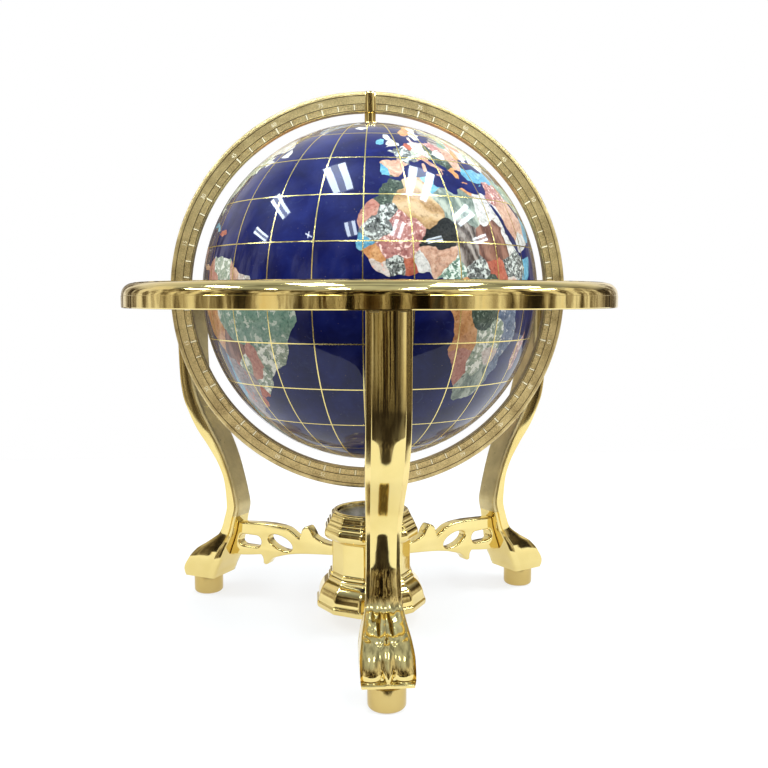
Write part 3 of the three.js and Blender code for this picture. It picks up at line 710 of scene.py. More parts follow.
        (-69.5, 58.9), (-65, 60.2), (-62, 57.5), (-56, 52.5), (-60, 50.2), (-66.5, 50.2),
        (-69, 48.5), (-64.5, 48.9), (-65, 47), (-60.5, 46), (-65.8, 43.5), (-67, 44.8),
        (-70.5, 43.3), (-70, 41.8), (-74, 40.6), (-75.8, 36.2), (-77.5, 34.2), (-81.3, 31.5),
        (-80, 27), (-80.6, 25.2), (-82.8, 28), (-84.5, 30), (-89.5, 30.2), (-94.5, 29.5),
        (-97.4, 26.5), (-97.5, 22), (-95.5, 18.7), (-91.5, 18.6), (-90.4, 21), (-87, 21.3),
        (-88.2, 17.5), (-88.5, 15.8), (-83.3, 15), (-83.8, 11), (-82, 9), (-79.5, 9.6),
        (-77.4, 8.6), (-75.6, 10.6), (-72, 12.2), (-71.4, 11), (-68, 11), (-62, 10.7), (-60, 8.3),
        (-57, 6), (-52, 5), (-50, 1.5), (-48.5, -1), (-44.3, -2.7), (-39, -3.3), (-35.3, -5.3),
        (-34.9, -8.3), (-37.2, -11.5), (-39, -14), (-39.3, -18), (-41, -22), (-44.5, -23.2),
        (-48.6, -26), (-48.9, -28.7), (-53.4, -34), (-57, -34.7), (-58.4, -34), (-57, -36.5),
        (-58, -38.3), (-62.2, -39), (-65, -41), (-63.8, -42.7), (-67.5, -46), (-65.9, -48),
        (-69, -51.5), (-65.3, -54.8), (-70, -55.3), (-74.3, -52), (-75.4, -48), (-73.5, -42),
        (-73.5, -37.5), (-71.5, -32), (-70.4, -25), (-70.3, -18.4), (-76.3, -13.8), (-79, -8),
        (-81.3, -5), (-80.2, -2.5), (-80, 0.5), (-77.5, 4), (-77.6, 7.2), (-80.3, 7.4), (-83, 8.3),
        (-85.8, 10.5), (-87.6, 13), (-92, 14.5), (-95, 16), (-101.5, 17.6), (-105.5, 20.3),
        (-105.5, 22.8), (-109.4, 26.5), (-112.8, 30.5), (-114.8, 31.7), (-111.5, 26), (-109.6, 23),
        (-112.2, 25.5), (-115, 29), (-117.1, 32.5), (-120.6, 34.6), (-123.8, 39), (-124.3, 43),
        (-124.5, 48.3), (-122.8, 49), (-127.8, 51.5), (-130.5, 54.8), (-134, 58), (-139.5, 59.7),
        (-146, 60.8), (-152, 59.2), (-154, 58), (-162, 55.2), (-157.5, 58.6), (-162, 60),
        (-165.5, 62.5), (-161, 64.5),
    ],
    "baffin": [
        (-61.5, 66.5), (-68, 70.3), (-78, 73), (-89, 73.5), (-86, 70.8), (-78, 69.8), (-73, 67.8),
        (-72, 64.5), (-65, 62),
    ],
    "victoria_island": [(-105, 69), (-105.5, 73), (-117, 73), (-117.5, 70), (-113, 68.8)],
    "ellesmere": [(-62, 82.4), (-90, 81.5), (-88, 77), (-80, 76.3), (-75, 79)],
    "banks_island": [(-123, 71.3), (-125, 74), (-118, 75.8), (-116, 73.6)],
    "newfoundland": [(-59.3, 47.8), (-53, 46.8), (-53.2, 49.5), (-56, 51.5)],
    "cuba": [(-84.9, 21.9), (-82.5, 23.2), (-77, 21.9), (-74.2, 20.2), (-77.7, 19.9), (-78.5, 21.2)],
    "hispaniola": [(-74.4, 18.4), (-73, 19.9), (-69.8, 19.7), (-68.4, 18.5), (-71.5, 17.7)],
    "antarctica": [
        (-180, -78), (-160, -78), (-150, -77), (-130, -74), (-100, -73), (-75, -73), (-68, -68),
        (-58, -63.3), (-63, -68), (-61, -74), (-50, -78), (-35, -78), (-20, -74), (-5, -71),
        (10, -70), (30, -69.5), (50, -67), (70, -69), (80, -68), (100, -66), (120, -67),
        (140, -66.5), (155, -69), (170, -72), (167, -78), (180, -78), (180, -89), (-180, -89),
    ],
}

# Countries, roughly: a stone, and places that are nearer to it than to any other country
COUNTRIES = [
    ("moss", (-6, 32), (-4, 34), (-9, 30)),
    ("salmon", (-13.5, 25), (-15, 22)),
    ("sand", (3, 28), (-2, 30), (5, 33), (8, 25), (0, 25), (6, 22.5), (1, 34.5)),
    ("turquoise", (9.3, 34.8)),
    ("labradorite", (17, 27), (13, 29), (21, 28), (21, 23), (15, 24.5)),
    ("howlite", (29, 27), (28, 24), (30, 30), (34, 26)),
    ("dalmatian", (-9, 20), (-12, 17.5), (-7, 23.5), (-13, 20)),
    ("rhodonite", (-1, 19), (-5.5, 14), (-4, 21.5), (1, 17.5), (-8, 13), (-1.5, 12.5)),
    ("turquoise", (-15, 14)),
    ("carnelian", (-11, 10.5), (-13.5, 11)),
    ("pearl", (-10, 6.8), (-11.5, 8.2)),
    ("dalmatian", (-5.5, 7.5)),
    ("jasper", (-1, 7.8)),
    ("howlite", (1.8, 9)),
    ("onyx", (9, 17), (12, 19), (5, 15), (10, 14.5)),
    ("peach", (8, 9.5), (5, 11.5), (11, 11.5)),
    ("zebra", (18.5, 15), (19, 19.5), (18, 10.5)),
    ("brick", (30, 15), (27, 12), (30, 19.5), (34, 14), (26, 17)),
    ("jasper", (31, 7), (27.5, 8)),
    ("emerald", (12, 5), (14, 8)),
    ("dalmatian", (20, 6.8), (24, 7)),
    ("moss", (22, -3), (26, 0), (24, -8), (27, -5), (20, 1), (27, 3)),
    ("carnelian", (13, -1), (15, 1), (12, -3), (16, -3)),
    ("carnelian", (17.5, -12), (14, -9), (20, -14), (14, -15)),
    ("jasper", (30.5, -2.5), (32.5, 1.5)),
    ("sodalite", (34.5, -6), (36, -9), (33, -4)),
    ("pearl", (38, 0.5), (37, 3)),
    ("dalmatian", (39, 8), (41, 11), (36, 8), (43, 7)),
    ("howlite", (38.5, 15.5)),
    ("turquoise", (46, 5), (43, 2), (48.5, 9.5)),
    ("sodalite", (36, -15), (38, -13), (34.5, -20), (33, -24)),
    ("unakite", (27, -14), (24, -14), (31, -11), (30, -15)),
    ("pearl", (30, -19)),
    ("unakite", (24, -22), (22, -20)),
    ("salmon", (17, -22), (17, -26), (15, -19), (19, -19)),
    ("labradorite", (24, -30), (20, -32), (28, -26), (28, -31), (20, -29)),
    ("rhodonite", (46.5, -20), (48, -16)),
    ("peach", (-4, 40), (-2, 38.5), (-1.5, 42), (-6, 42)),
    ("turquoise", (-8.2, 39.7)),
    ("dalmatian", (2.5, 47), (1, 45), (4.5, 45), (3, 49), (-2, 48)),
    ("howlite", (-1.5, 52.5), (-3.5, 56.5)),
    ("turquoise", (-8, 53.2)),
    ("jasper", (5, 51.3)),
    ("pearl", (10, 51), (12, 52.5), (9, 53), (11, 49), (9, 56)),
    ("unakite", (8.2, 46.8), (14, 47.5)),
    ("peach", (12.5, 43), (9.5, 45.2), (15, 40.5), (14, 37.5), (9, 40)),
    ("moss", (15.5, 50)),
    ("rhodonite", (19, 52), (21, 51)),
    ("howlite", (20, 47.5)),
    ("moss", (17.5, 44.5), (21, 43)),
    ("peach", (25, 46), (25, 43.5)),
    ("carnelian", (22, 39.5), (25, 35)),
    ("turquoise", (33, 39), (29, 39), (38, 39), (42, 39), (33, 35.2)),
    ("peach", (27, 50)),
    ("carnelian", (31, 49.5)),
    ("pearl", (35, 49), (29, 51.5)),
    ("jade", (28, 53.5)),
    ("zebra", (25, 56.5), (24.5, 58.7)),
    ("carnelian", (9, 61), (13, 65.3), (20, 69.2), (26, 70.4)),
    ("howlite", (15.5, 60), (17, 64), (14, 57.5), (20.5, 67)),
    ("sodalite", (26, 63), (27, 67), (27, 65)),
    ("salmon", (70, 62), (85, 62), (100, 62), (115, 62), (130, 62), (145, 64), (160, 66), (175, 66),
     (-174, 66), (90, 56), (110, 54), (125, 55), (135, 50), (158, 56), (100, 72), (38, 54)),
    ("unakite", (45, 60), (40, 48), (33, 60), (54, 53), (60, 66)),
    ("howlite", (43, 45), (36, 67), (45, 51), (55, 60), (40, 56.5)),
    ("unakite", (67, 48), (55, 48.5), (75, 47), (80, 48), (51, 49)),
    ("brick", (60, 39.5), (63, 41.5), (56, 40)),
    ("zebra", (68, 38.5), (75, 41.5), (45.5, 40.5)),
    ("jade", (54, 33), (50, 35), (58, 31), (58, 35), (47, 37)),
    ("rhodonite", (43.5, 33), (38, 34.5), (36.5, 31)),
    ("peach", (45, 24), (41, 27), (50, 21), (43, 20), (48, 27)),
    ("howlite", (46, 15.5), (49, 16.5)),
    ("turquoise", (57, 21), (55, 19)),
    ("howlite", (66, 34)),
    ("carnelian", (68, 29), (70, 31), (65, 27)),
    ("emerald", (78, 22), (75, 27), (77, 14), (83, 23), (80, 27), (92, 25), (80.5, 7.5)),
    ("brick", (84, 28.3)),
    ("peach", (104, 35), (90, 35), (85, 41), (112, 32), (110, 40), (117, 28), (100, 27), (124, 46),
     (108, 25), (98, 40), (82, 34), (119, 42)),
    ("moss", (103, 46.5), (95, 47), (110, 46)),
    ("jasper", (96, 21), (97, 18)),
    ("howlite", (101, 15.5), (100, 18), (99.5, 9)),
    ("sand", (105, 17), (107, 12.5), (105, 21)),
    ("rhodonite", (127.5, 37), (127, 40)),
    ("rhodonite", (138, 36), (132, 34), (143, 43)),
    ("sand", (121, 23.5)),
    ("carnelian", (121.5, 16.5), (125, 8)),
    ("howlite", (102, 4.2), (114, 2.8), (116.5, 5.5)),
    ("jade", (101, -0.5), (110, -7.5), (114, -1.5), (121, -2), (135, -3.5), (98, 3)),
    ("brick", (145, -6.5)),
    ("jasper", (134, -25), (122, -25), (145, -25), (146, -42)),
    ("jade", (175, -39), (170, -44)),
    ("sodalite", (-40, 75), (-46, 65), (-30, 72), (-50, 78), (-35, 80)),
    ("howlite", (-19, 65)),
    ("howlite", (17, 79)),
    ("carnelian", (-100, 58), (-115, 60), (-125, 56), (-110, 71), (-130, 64), (-120, 74)),
    ("howlite", (-75, 53), (-65, 54), (-85, 51), (-73, 67), (-80, 79), (-56, 48.5), (-64, 45.5)),
    ("moss", (-150, 65), (-160, 60), (-145, 67)),
    ("unakite", (-100, 40), (-85, 38), (-115, 40), (-75, 42), (-82, 33), (-97, 32), (-118, 45),
     (-112, 34), (-82, 28), (-70, 45), (-105, 46)),
    ("jade", (-102, 24), (-98, 18), (-110, 29), (-90, 19), (-112, 27)),
    ("rhodonite", (-90, 15), (-86, 14)),
    ("peach", (-84, 10), (-80, 8.3)),
    ("turquoise", (-79, 21.5)),
    ("jasper", (-71, 19)),
    ("salmon", (-73, 4), (-75, 8), (-72, 1)),
    ("unakite", (-66, 7), (-64, 5), (-70, 9)),
    ("peach", (-59, 5)),
    ("pearl", (-56, 4)),
    ("howlite", (-53, 4)),
    ("zebra", (-78.5, -1.5)),
    ("carnelian", (-75, -10), (-76, -5), (-72, -14)),
    ("jade", (-58, -4), (-64, -5), (-52, -1), (-54, -9), (-47, -5), (-60, -1), (-60, -12),
     (-40, -9), (-44, -12), (-37, -7), (-50, -14)),
    ("unakite", (-49, -19), (-43, -18), (-50, -26), (-45, -21), (-53, -30)),
    ("salmon", (-54, -20.5), (-54.5, -24)),
    ("brick", (-65, -17), (-62, -18)),
    ("unakite", (-58.5, -23)),
    ("turquoise", (-71.3, -25), (-71.8, -33), (-73, -42), (-73.5, -50)),
    ("fossil", (-65, -33), (-67, -25), (-61, -27), (-68, -42), (-69, -48), (-59, -31), (-68, -37)),
    ("jasper", (-56, -32.8)),
    ("howlite", (0, -80), (60, -78), (120, -78), (-60, -80), (-120, -80), (-170, -80), (170, -80),
     (90, -72), (30, -76), (-25, -79), (-62, -67)),
]

POLE_LAT = 86.87  # where the veneer stops at the pole bushings
GRID = 2.5  # between the map's plain points, in degrees
GRID_TOP = 85
CLEAR = 1.1  # plain points keep about this far from drawn lines
SEA = -1
BEND_SEED = 1794870823
noise.seed_set(BEND_SEED)  # unseeded, noise_vector would bend the lines differently in every run


def drift(lon, lat):
    """Bends drawn lines a little, the same way wherever they meet."""
    if abs(lon) > 179.9 or abs(lat) > POLE_LAT - 0.5:
        return lon, lat
    slow = noise.noise_vector(Vector((lon * 0.16, lat * 0.16, 3.7)))
    quick = noise.noise_vector(Vector((lon * 0.75, lat * 0.75, 9.1)))
    return lon + 0.8 * slow.x + 0.45 * quick.x, lat + 0.8 * slow.y + 0.45 * quick.y


def stretch_line(a, b):
    """Points from a up to but not including b, close enough to bend."""
    on_seam = abs(a[0]) == 180 and abs(b[0]) == 180
    count = 1 if on_seam else max(1, ceil(dist(a, b)))
    return [drift(lerp(a[0], b[0], i / count), lerp(a[1], b[1], i / count)) for i in range(count)]


def drawn_coasts():
    outlines = []
    for corners in COASTS.values():
        line = []
        for a, b in zip(corners, corners[1:] + corners[:1]):
            line.extend(stretch_line(a, b))
        outlines.append([(lon, max(-POLE_LAT, lat)) for lon, lat in line])
    return outlines


def circle_center(a, b, c):
    d = 2 * (a[0] * (b[1] - c[1]) + b[0] * (c[1] - a[1]) + c[0] * (a[1] - b[1]))
    squares = [p[0] ** 2 + p[1] ** 2 for p in (a, b, c)]
    x = squares[0] * (b[1] - c[1]) + squares[1] * (c[1] - a[1]) + squares[2] * (a[1] - b[1])
    y = squares[0] * (c[0] - b[0]) + squares[1] * (a[0] - c[0]) + squares[2] * (b[0] - a[0])
    return x / d, y / d


def edge_keys(tri):
    return [tuple(sorted((tri[i], tri[(i + 1) % 3]))) for i in range(3)]


def triangulate(points, edges=()):
    return geometry.delaunay_2d_cdt([Vector(p) for p in points], edges, [], 0, 1e-5)


def borders(places, owners):
    """Lines halfway between neighbouring places of different countries."""
    sides = {}
    for tri in triangulate(places)[2]:
        center = circle_center(*(places[i] for i in tri))
        for key in edge_keys(tri):
            sides.setdefault(key, []).append(center)
    return [ends for (i, j), ends in sides.items()
            if len(ends) == 2 and owners[i] != owners[j] and dist(*ends) > 0.01]


def inside(outlines, points):
    """Which points are on land, by counting the coasts crossed."""
    x, y = points[:, 0], points[:, 1]
    crossed = np.zeros(len(points), dtype=int)
    for line in outlines:
        for (x0, y0), (x1, y1) in zip(line, line[1:] + line[:1]):
            if y0 == y1:
                continue
            hit = ((y0 > y) != (y1 > y)) & (x < (x1 - x0) * (y - y0) / (y1 - y0) + x0)
            crossed += hit
    return crossed % 2 == 1


def drawn_lines(places, owners):
    """The points of every coast and border, their edges, and the coasts as outlines."""
    far = [(x, y) for x in (-400, 0, 400) for y in (-250, 250)]
    coasts = drawn_coasts()
    lines = [(line, True) for line in coasts]
    for a, b in borders(places + far, owners + [SEA] * len(far)):
        line = stretch_line(a, b) + [drift(*b)]
        if all(abs(lon) < 179 and abs(lat) < POLE_LAT - 1 for lon, lat in line):
            lines.append((line, False))
    points, edges = [], []
    for line, loop in lines:
        base = len(points)
        points.extend(line)
        edges.extend((base + i, base + i + 1) for i in range(len(line) - 1))
        if loop:
            edges.append((len(points) - 1, base))
    return points, edges, coasts


def nearest_place(points, places):
    """The number of the place nearest to each point, worked out a block at a time."""
    block = 4000
    found = []
    for start in range(0, len(points), block):
        gaps = ((points[start:start + block, None, :] - places[None]) ** 2).sum(axis=2)
        found.extend(gaps.argmin(axis=1))
    return found


def map_triangles():
    """Cuts the map along coasts and borders: its points, its triangles, and the country of each."""
    places, owners = [], []
    for number, (_, *spots) in enumerate(COUNTRIES):
        places.extend(spots)
        owners.extend([number] * len(spots))
    points, edges, coasts = drawn_lines(places, owners)
    taken = {(round(x / CLEAR), round(y / CLEAR)) for x, y in points}
    columns = round(360 / GRID)
    rows = round(2 * GRID_TOP / GRID)
    for i in range(columns + 1):
        lon = -180 + i * GRID
        for j in range(rows + 1):
            lat = -GRID_TOP + j * GRID
            if i in (0, columns) or (round(lon / CLEAR), round(lat / CLEAR)) not in taken:
                points.append((lon, lat))
        points += [(lon, -POLE_LAT), (lon, POLE_LAT)]
    verts, all_edges, faces, _, sources, _ = triangulate(points, edges)
    fixed = {tuple(sorted(e)) for e, source in zip(all_edges, sources) if source}
    flat = np.array([tuple(v) for v in verts])
    faces = [tuple(f) for f in faces]
    middles = flat[np.array(faces)].mean(axis=1)
    nearest = nearest_place(middles, np.array(places))
    land = inside(coasts, middles)
    guess = [owners[n] if on_land else SEA for n, on_land in zip(nearest, land)]
    return flat, faces, spread(faces, fixed, flat, guess)


def spread(faces, fixed, flat, guess):
    """Gives every area between lines the country that most of it was guessed to be."""
    beside = {}
    for number, f in enumerate(faces):
        for key in edge_keys(f):
            beside.setdefault(key, []).append(number)
    corners = flat[np.array(faces)]
    a, b = corners[:, 1] - corners[:, 0], corners[:, 2] - corners[:, 0]
    size = np.abs(a[:, 0] * b[:, 1] - a[:, 1] * b[:, 0])
    country = [None] * len(faces)
    for first in range(len(faces)):
        if country[first] is not None:
            continue
        area, queue, votes, reached = [], [first], {}, {first}
        while queue:
            here = queue.pop()
            area.append(here)
            votes[guess[here]] = votes.get(guess[here], 0) + size[here]
            for key in edge_keys(faces[here]):
                new = () if key in fixed else [n for n in beside[key] if n not in reached]
                reached.update(new)
                queue.extend(new)
        winner = max(votes, key=votes.get)
        for here in area:
            country[here] = winner
    return country


def on_ball(lon, lat, r):
    a, b = radians(lon - FRONT_LON), radians(lat)
    return (r * cos(b) * sin(a), -r * cos(b) * cos(a), GLOBE_Z + r * sin(b))


def make_globe_skin():
    """The veneer: the map on the outside, a plain inside, and a rim at each pole."""
    flat, triangles, country = map_triangles()
    names = list(STONES)
    plain = (names.index("lapis"), 0.0)
    count = len(flat)
    verts = [on_ball(lon, lat, r) for r in (GLOBE_R, GLOBE_R - SKIN_DEPTH) for lon, lat in flat]
    faces, looks = list(triangles), []
    for f, owner in zip(triangles, country):
        stone_name = "lapis" if owner == SEA else COUNTRIES[owner][0]
        lon, lat = flat[list(f)].mean(axis=0)
        cell = Vector((floor(lon / GRATICULE) * 1.7, floor(lat / GRATICULE) * 2.3, 0.5))
        looks.append((names.index(stone_name), 0.5 + 0.5 * noise.noise(cell)))
    faces += [tuple(i + count for i in reversed(f)) for f in triangles]
    for lat in (-POLE_LAT, POLE_LAT):
        rim = sorted((i for i in range(count) if abs(flat[i][1] - lat) < 1e-4), key=lambda i: flat[i][0])
        faces += [(i, j, j + count, i + count) for i, j in zip(rim, rim[1:])]
    looks += [plain] * (len(faces) - len(looks))
    # The map's left and right edges are one line on the ball
    verts, faces = weld(verts, faces)
    looks = [look for look, face in zip(looks, faces) if face]
    shape = (verts, [face for face in faces if face])
    skin = build("globe_skin", shape, "globe", ("gemstone", *STONES.values()), ["stone_skin"],
                 kinds=[kind for kind, _ in looks])
    mesh = skin.data
    layer = mesh.attributes.new(TILE_TONE, "FLOAT", "FACE")
    layer.data.foreach_set("value", [tone for _, tone in looks])
    mesh.polygons.foreach_set("use_smooth", [True] * len(mesh.polygons))
    normals = []
    for v in mesh.vertices:
        arm = v.co - GLOBE_AT
        sign = 1 if arm.length > (GLOBE_R - SKIN_DEPTH / 2) * MM else -1
        normals.append(arm.normalized() * sign)
    mesh.normals_split_custom_set_from_vertices(normals)


def wire(path, width, low, high, closed):
    """A flush brass strip along a path of (lon, lat), as a closed solid."""
    verts, faces = [], []
    middles = [Vector(on_ball(lon, lat, 1.0)) - GLOBE_CENTER for lon, lat in path]
    count = len(middles)
    for i, out in enumerate(middles):
        before = middles[i - 1] if closed or i else middles[i]
        after = middles[(i + 1) % count] if closed or i < count - 1 else middles[i]
        side = (after - before).cross(out).normalized()
        for r, s in ((low, -1), (low, 1), (high, 1), (high, -1)):
            p = out * r + side * (s * width / 2)
            verts.append((p.x, p.y, p.z + GLOBE_Z))
    for i in range(count if closed else count - 1):
        a, b = 4 * i, 4 * ((i + 1) % count)
        for k in range(4):
            m = (k + 1) % 4
            faces.append((a + k, b + k, b + m, a + m))
    if not closed:
        last = 4 * (count - 1)
        faces += [(0, 1, 2, 3), (last, last + 3, last + 2, last + 1)]
    return verts, faces


def make_graticule():
    low, high = GLOBE_R - 0.6, GLOBE_R + 0.05
    end_lat = 86.2
    up_steps, round_steps = 115, 216
    parts = []
    for lon in range(-180, 180, GRATICULE):
        path = [(lon, lerp(-end_lat, end_lat, i / up_steps)) for i in range(up_steps + 1)]
        parts.append(wire(path, 1.0, low, high, False))
    for lat in range(-75, 76, GRATICULE):
        path = [(-180 + 360 * i / round_steps, lat) for i in range(round_steps)]
        # The parallels lie a hair lower than the meridians that they cross
        parts.append(wire(path, 1.0 if lat else 1.4, low - 0.02, high - 0.015, True))
    build("graticule_wires", gather(parts), "globe", WIRE)


def polar(profile, turn, around):
    """A turning about the pole axis; heights are from the ball's centre, and turn -1 flips it."""
    return lathe([(r, GLOBE_Z + turn * z) for r, z in profile], around)


def make_pole_fittings():
    seat = GLOBE_R + 0.1
    bushing = [
        (POLE_BORE, seat - 15), (8.7, seat - 15), (8.7, seat), (11.6, seat), (12, seat + 0.4),
        (11.7, seat + 0.9), (10.2, seat + 1.5), (9.2, seat + 1.6), (4.8, seat + 1.6),
        (POLE_BORE, seat + 1.2),
    ]
    low, high = seat + 1.6 + 0.3, MERIDIAN_INNER - 0.6
    spacer = [
        (POLE_BORE, low + 0.2), (4.5, low), (5.2, low), (5.5, low + 0.4), (5.5, high - 0.4),
        (5.2, high), (4.5, high), (POLE_BORE, high - 0.2),
    ]
    low, high = GLOBE_R - 17, MERIDIAN_OUTER - 0.3
    axle = [(0, low), (3.6, low), (4, low + 0.4), (4, high - 0.7), (3.3, high), (0, high)]
    for end, turn in POLES:
        dress(f"pole_bushing_{end}", polar(bushing, turn, 64), "globe", GOLD)
        dress(f"polar_spacer_{end}", polar(spacer, turn, 48), "meridian", GOLD)
        dress(f"polar_axle_{end}", polar(axle, turn, 40), "meridian", STEEL)


# ---------------------------------------------------------------- rings
def scale_groove(r, depth, half, width):
    """A V-groove on the ring's face, as profile points going inwards."""
    return [(r + width, half), (r, half - depth), (r - width, half)]


def meridian_profile():
    half, outer, inner = MERIDIAN_HALF, MERIDIAN_OUTER, MERIDIAN_INNER
    front = [(outer, 0), (outer, half - 3.3)]
    front += arc(outer - 3.2, half - 3.3, 3.2, 12, 66, 5)
    front += [(outer - 4.0, half - 0.35), (outer - 4.2, half - 0.7), (outer - 4.7, half - 0.7),
              (outer - 4.9, half)]
    front += scale_groove(SCALE_OUTER, 0.5, half, 0.35)
    front += [(183.5, half), (183.3, half - 0.3)]
    front += [(179.2, half - 0.3), (179.0, half)]
    front += scale_groove(SCALE_INNER, 0.45, half, 0.32)
    front += [(inner + 0.5, half), (inner, half - 0.5)]
    back = [(r, -z) for r, z in reversed(front) if z > 0.01]
    return front + back


def ring_frame(angle, face):
    """Axes at an angle from the top of the ring, clockwise seen from -Y: outwards, along, and
    towards the viewer of that face."""
    a = radians(angle)
    out = Vector((sin(a) * face, 0, cos(a)))
    along = Vector((cos(a) * face, 0, -sin(a)))
    return out, along, Vector((0, -face, 0))


def ring_ticks(wider, height):
    """Raised marks on both faces every 5 degrees, longer every 15."""
    parts = []
    floor_z = MERIDIAN_HALF - 0.36
    for face in (1, -1):
        for degree in range(0, 360, 5):
            if degree % 90 == 0:
                continue
            out, along, up = ring_frame(degree, face)
            start, end, width = (178.8, 184.0, 1.2) if degree % 15 else (178.5, 184.3, 1.5)
            middle = GLOBE_CENTER + out * ((start + end) / 2) + up * (floor_z + height / 2)
            parts.append(bar(middle, (end - start, width + wider, height), (out, along, up)))
    return gather(parts)


def letters(text, size, depth):
    """Text from the built-in font as a closed mesh, centred: right, up, towards the reader."""
    curve = bpy.data.curves.new("letters", "FONT")
    curve.body = text
    curve.size = size
    curve.extrude = depth / 2
    curve.align_x = "CENTER"
    curve.align_y = "CENTER"
    curve.resolution_u = 3
    return welded(*mesh_of("letters", curve))


def placed(shape, origin, right, up, out):
    verts, faces = shape
    return [tuple(origin + right * x + up * y + out * z) for x, y, z in verts], faces


def ring_numbers():
    """Latitude numbers every 15 degrees beside the scale, read from outside the ring."""
    parts = []
    for face in (1, -1):
        for degree in range(0, 360, 15):
            if degree % 90 == 0:
                continue
            out, along, up = ring_frame(degree, face)
            number = letters(str(abs(90 - min(degree, 360 - degree))), 5.4, 0.3)
            middle = GLOBE_CENTER + out * NUMBERS_R + up * (MERIDIAN_HALF + 0.02)
            parts.append(placed(number, middle, along, out, up))
    return gather(parts)


def make_meridian_ring():
    verts, faces = lathe(meridian_profile(), 288)
    kinds = []
    for f in faces:
        middle = sum((Vector(verts[i]) for i in f), Vector()) / len(f)
        r, depth = hypot(middle.x, middle.y), MERIDIAN_HALF - abs(middle.z)
        in_groove = min(abs(r - SCALE_OUTER), abs(r - SCALE_INNER)) < 0.36
        in_rebate = MERIDIAN_OUTER - 4.9 < r < MERIDIAN_OUTER - 4.1
        kinds.append(1 if depth > 0.05 and (in_groove or in_rebate) else 0)
    upright = [(x, -z, y + GLOBE_Z) for x, y, z in verts]
    build("meridian_band", (upright, faces), "meridian", ("antique_gold", RING_GOLD, PATINA_AND_SHADOW),
          ["meridian_ring"], kinds=kinds)
    marks = ("antique_gold", SCALE_GOLD)
    build("meridian_scale", ring_ticks(0, 0.40), "meridian", marks)
    # A wider, lower dark copy of the marks beneath them: painted shadow round each mark
    build("meridian_scale_shadow", ring_ticks(0.8, 0.14), "meridian", ("antique_gold", PATINA_AND_SHADOW))
    build("meridian_numbers", ring_numbers(), "meridian", marks)
    low, high = MERIDIAN_INNER - 0.3, MERIDIAN_OUTER - 0.1
    boss = [
        (POLE_BORE, low), (6.7, low), (7.2, low + 0.2), (7.45, low + 0.8), (7.5, low + 1.4),
        (7.5, high - 2.2), (7.3, high - 1.2), (6.7, high - 0.5), (5.6, high), (POLE_BORE, high),
    ]
    for end, turn in POLES:
        build(f"polar_boss_{end}", polar(boss, turn, 64), "meridian", GOLD)


def make_horizon_ring():
    low, high = HORIZON_LO.z, HORIZON_HI.z
    outer, inner, wall = HORIZON_HI.x, HORIZON_INNER, 4.5
    middle = outer - HORIZON_ROUND
    roof = high - 5
    profile = [(outer - 1.4, low), (outer - 0.5, low + 0.3), (outer, low + 1.1)]
    profile += [(outer, high - HORIZON_ROUND - 0.7), (outer - 0.35, high - HORIZON_ROUND - 0.45),
                (outer - 0.35, high - HORIZON_ROUND)]
    profile += arc(middle, high - HORIZON_ROUND, HORIZON_ROUND - 0.35, 4, 90, 14)
    profile += [(middle, high), (inner + 0.8, high), (inner + 0.2, high - 0.25), (inner, high - 0.8)]
    profile += [(inner, low + 0.8), (inner + 0.2, low + 0.2), (inner + 0.8, low), (inner + wall, low)]
    profile += [(inner + wall, roof - 2), (inner + wall + 2, roof), (middle - 1, roof)]
    profile += [(outer - wall, roof - 7), (outer - wall, low)]
    build("horizon_band", lathe(profile, 288), "stand", GOLD, ["horizon_ring"], sharp=22)


def plain_pin(low, high, r, edge=0.4):
    """A straight pin's profile with its ends chamfered."""
    return [(0, low), (r - edge, low), (r, low + edge), (r, high - edge), (r - edge, high), (0, high)]


def make_tilt_fittings():
    """A turned spacer and pin on each side, along X."""
    low, high = 197.4, 204
    spacer = [(3.3, low), (6.5, low), (7, low + 0.5), (7, high - 0.5), (6.5, high), (3.3, high)]
    for side, turn in (("right", 1), ("left", -1)):
        to_x = lying(GLOBE_Z, turn)
        dress(f"tilt_spacer_{side}", moved(lathe(spacer, 48), to_x), "stand", GOLD)
        dress(f"tilt_pin_{side}", moved(lathe(plain_pin(181, 220, 3), 32), to_x), "stand", STEEL)


# ---------------------------------------------------------------- legs
# Height, then: inner edge, outer edge, half width of the body, how far the back is narrower,
# how far the raised middle stands off the edge strips, its width against the body's, and the
# radius of the front corners
LEG_SHAPE = [
    (LEG_BOTTOM, 183, 221, 21.5, 0.3, 0.3, 0.96, 2.0),
    (26, 181.5, 222.4, 22.0, 0.3, 0.4, 0.96, 3.0),
    (30, 180, 223, 22.3, 0.3, 0.5, 0.95, 4.0),
    (42, 174, 217.5, 22.5, 0.3, 0.8, 0.92, 4.5),
    (54, 169.5, 208, 20.8, 0.4, 1.2, 0.88, 4.0),
    (64, 165.5, 193, 18, 0.5, 1.5, 0.84, 2.5),
    (74, 162, 180, 16, 0.7, 1.6, 0.78, 1.4),
    (88, 158.8, 174.5, 15.2, 1.1, 1.8, 0.74, 0.9),
    (104, 155, 171, 14.7, 1.5, 2.0, 0.74, 0.8),
    (118, 157.5, 171.8, 14.8, 1.6, 2.0, 0.74, 0.8),
    (133, 161.5, 174, 15, 1.6, 2.0, 0.74, 0.8),
    (150, 167, 181, 15.5, 1.6, 2.2, 0.74, 0.8),
    (169, 175, 193.5, 16.3, 1.6, 2.4, 0.74, 0.8),
    (188, 185.5, 208, 17.4, 1.6, 2.6, 0.74, 0.8),
    (205, 195.5, 217.5, 17.8, 1.6, 2.6, 0.74, 0.8),
    (223, 203.5, 225, 18, 1.6, 2.6, 0.74, 0.8),
    (245, 209, 228.5, 18, 1.6, 2.6, 0.74, 0.8),
    (278, 211, 230, 18, 1.6, 2.6, 0.74, 0.8),
    (LEG_TOP, 211, 231, 18, 1.6, 2.6, 0.74, 0.8),
]
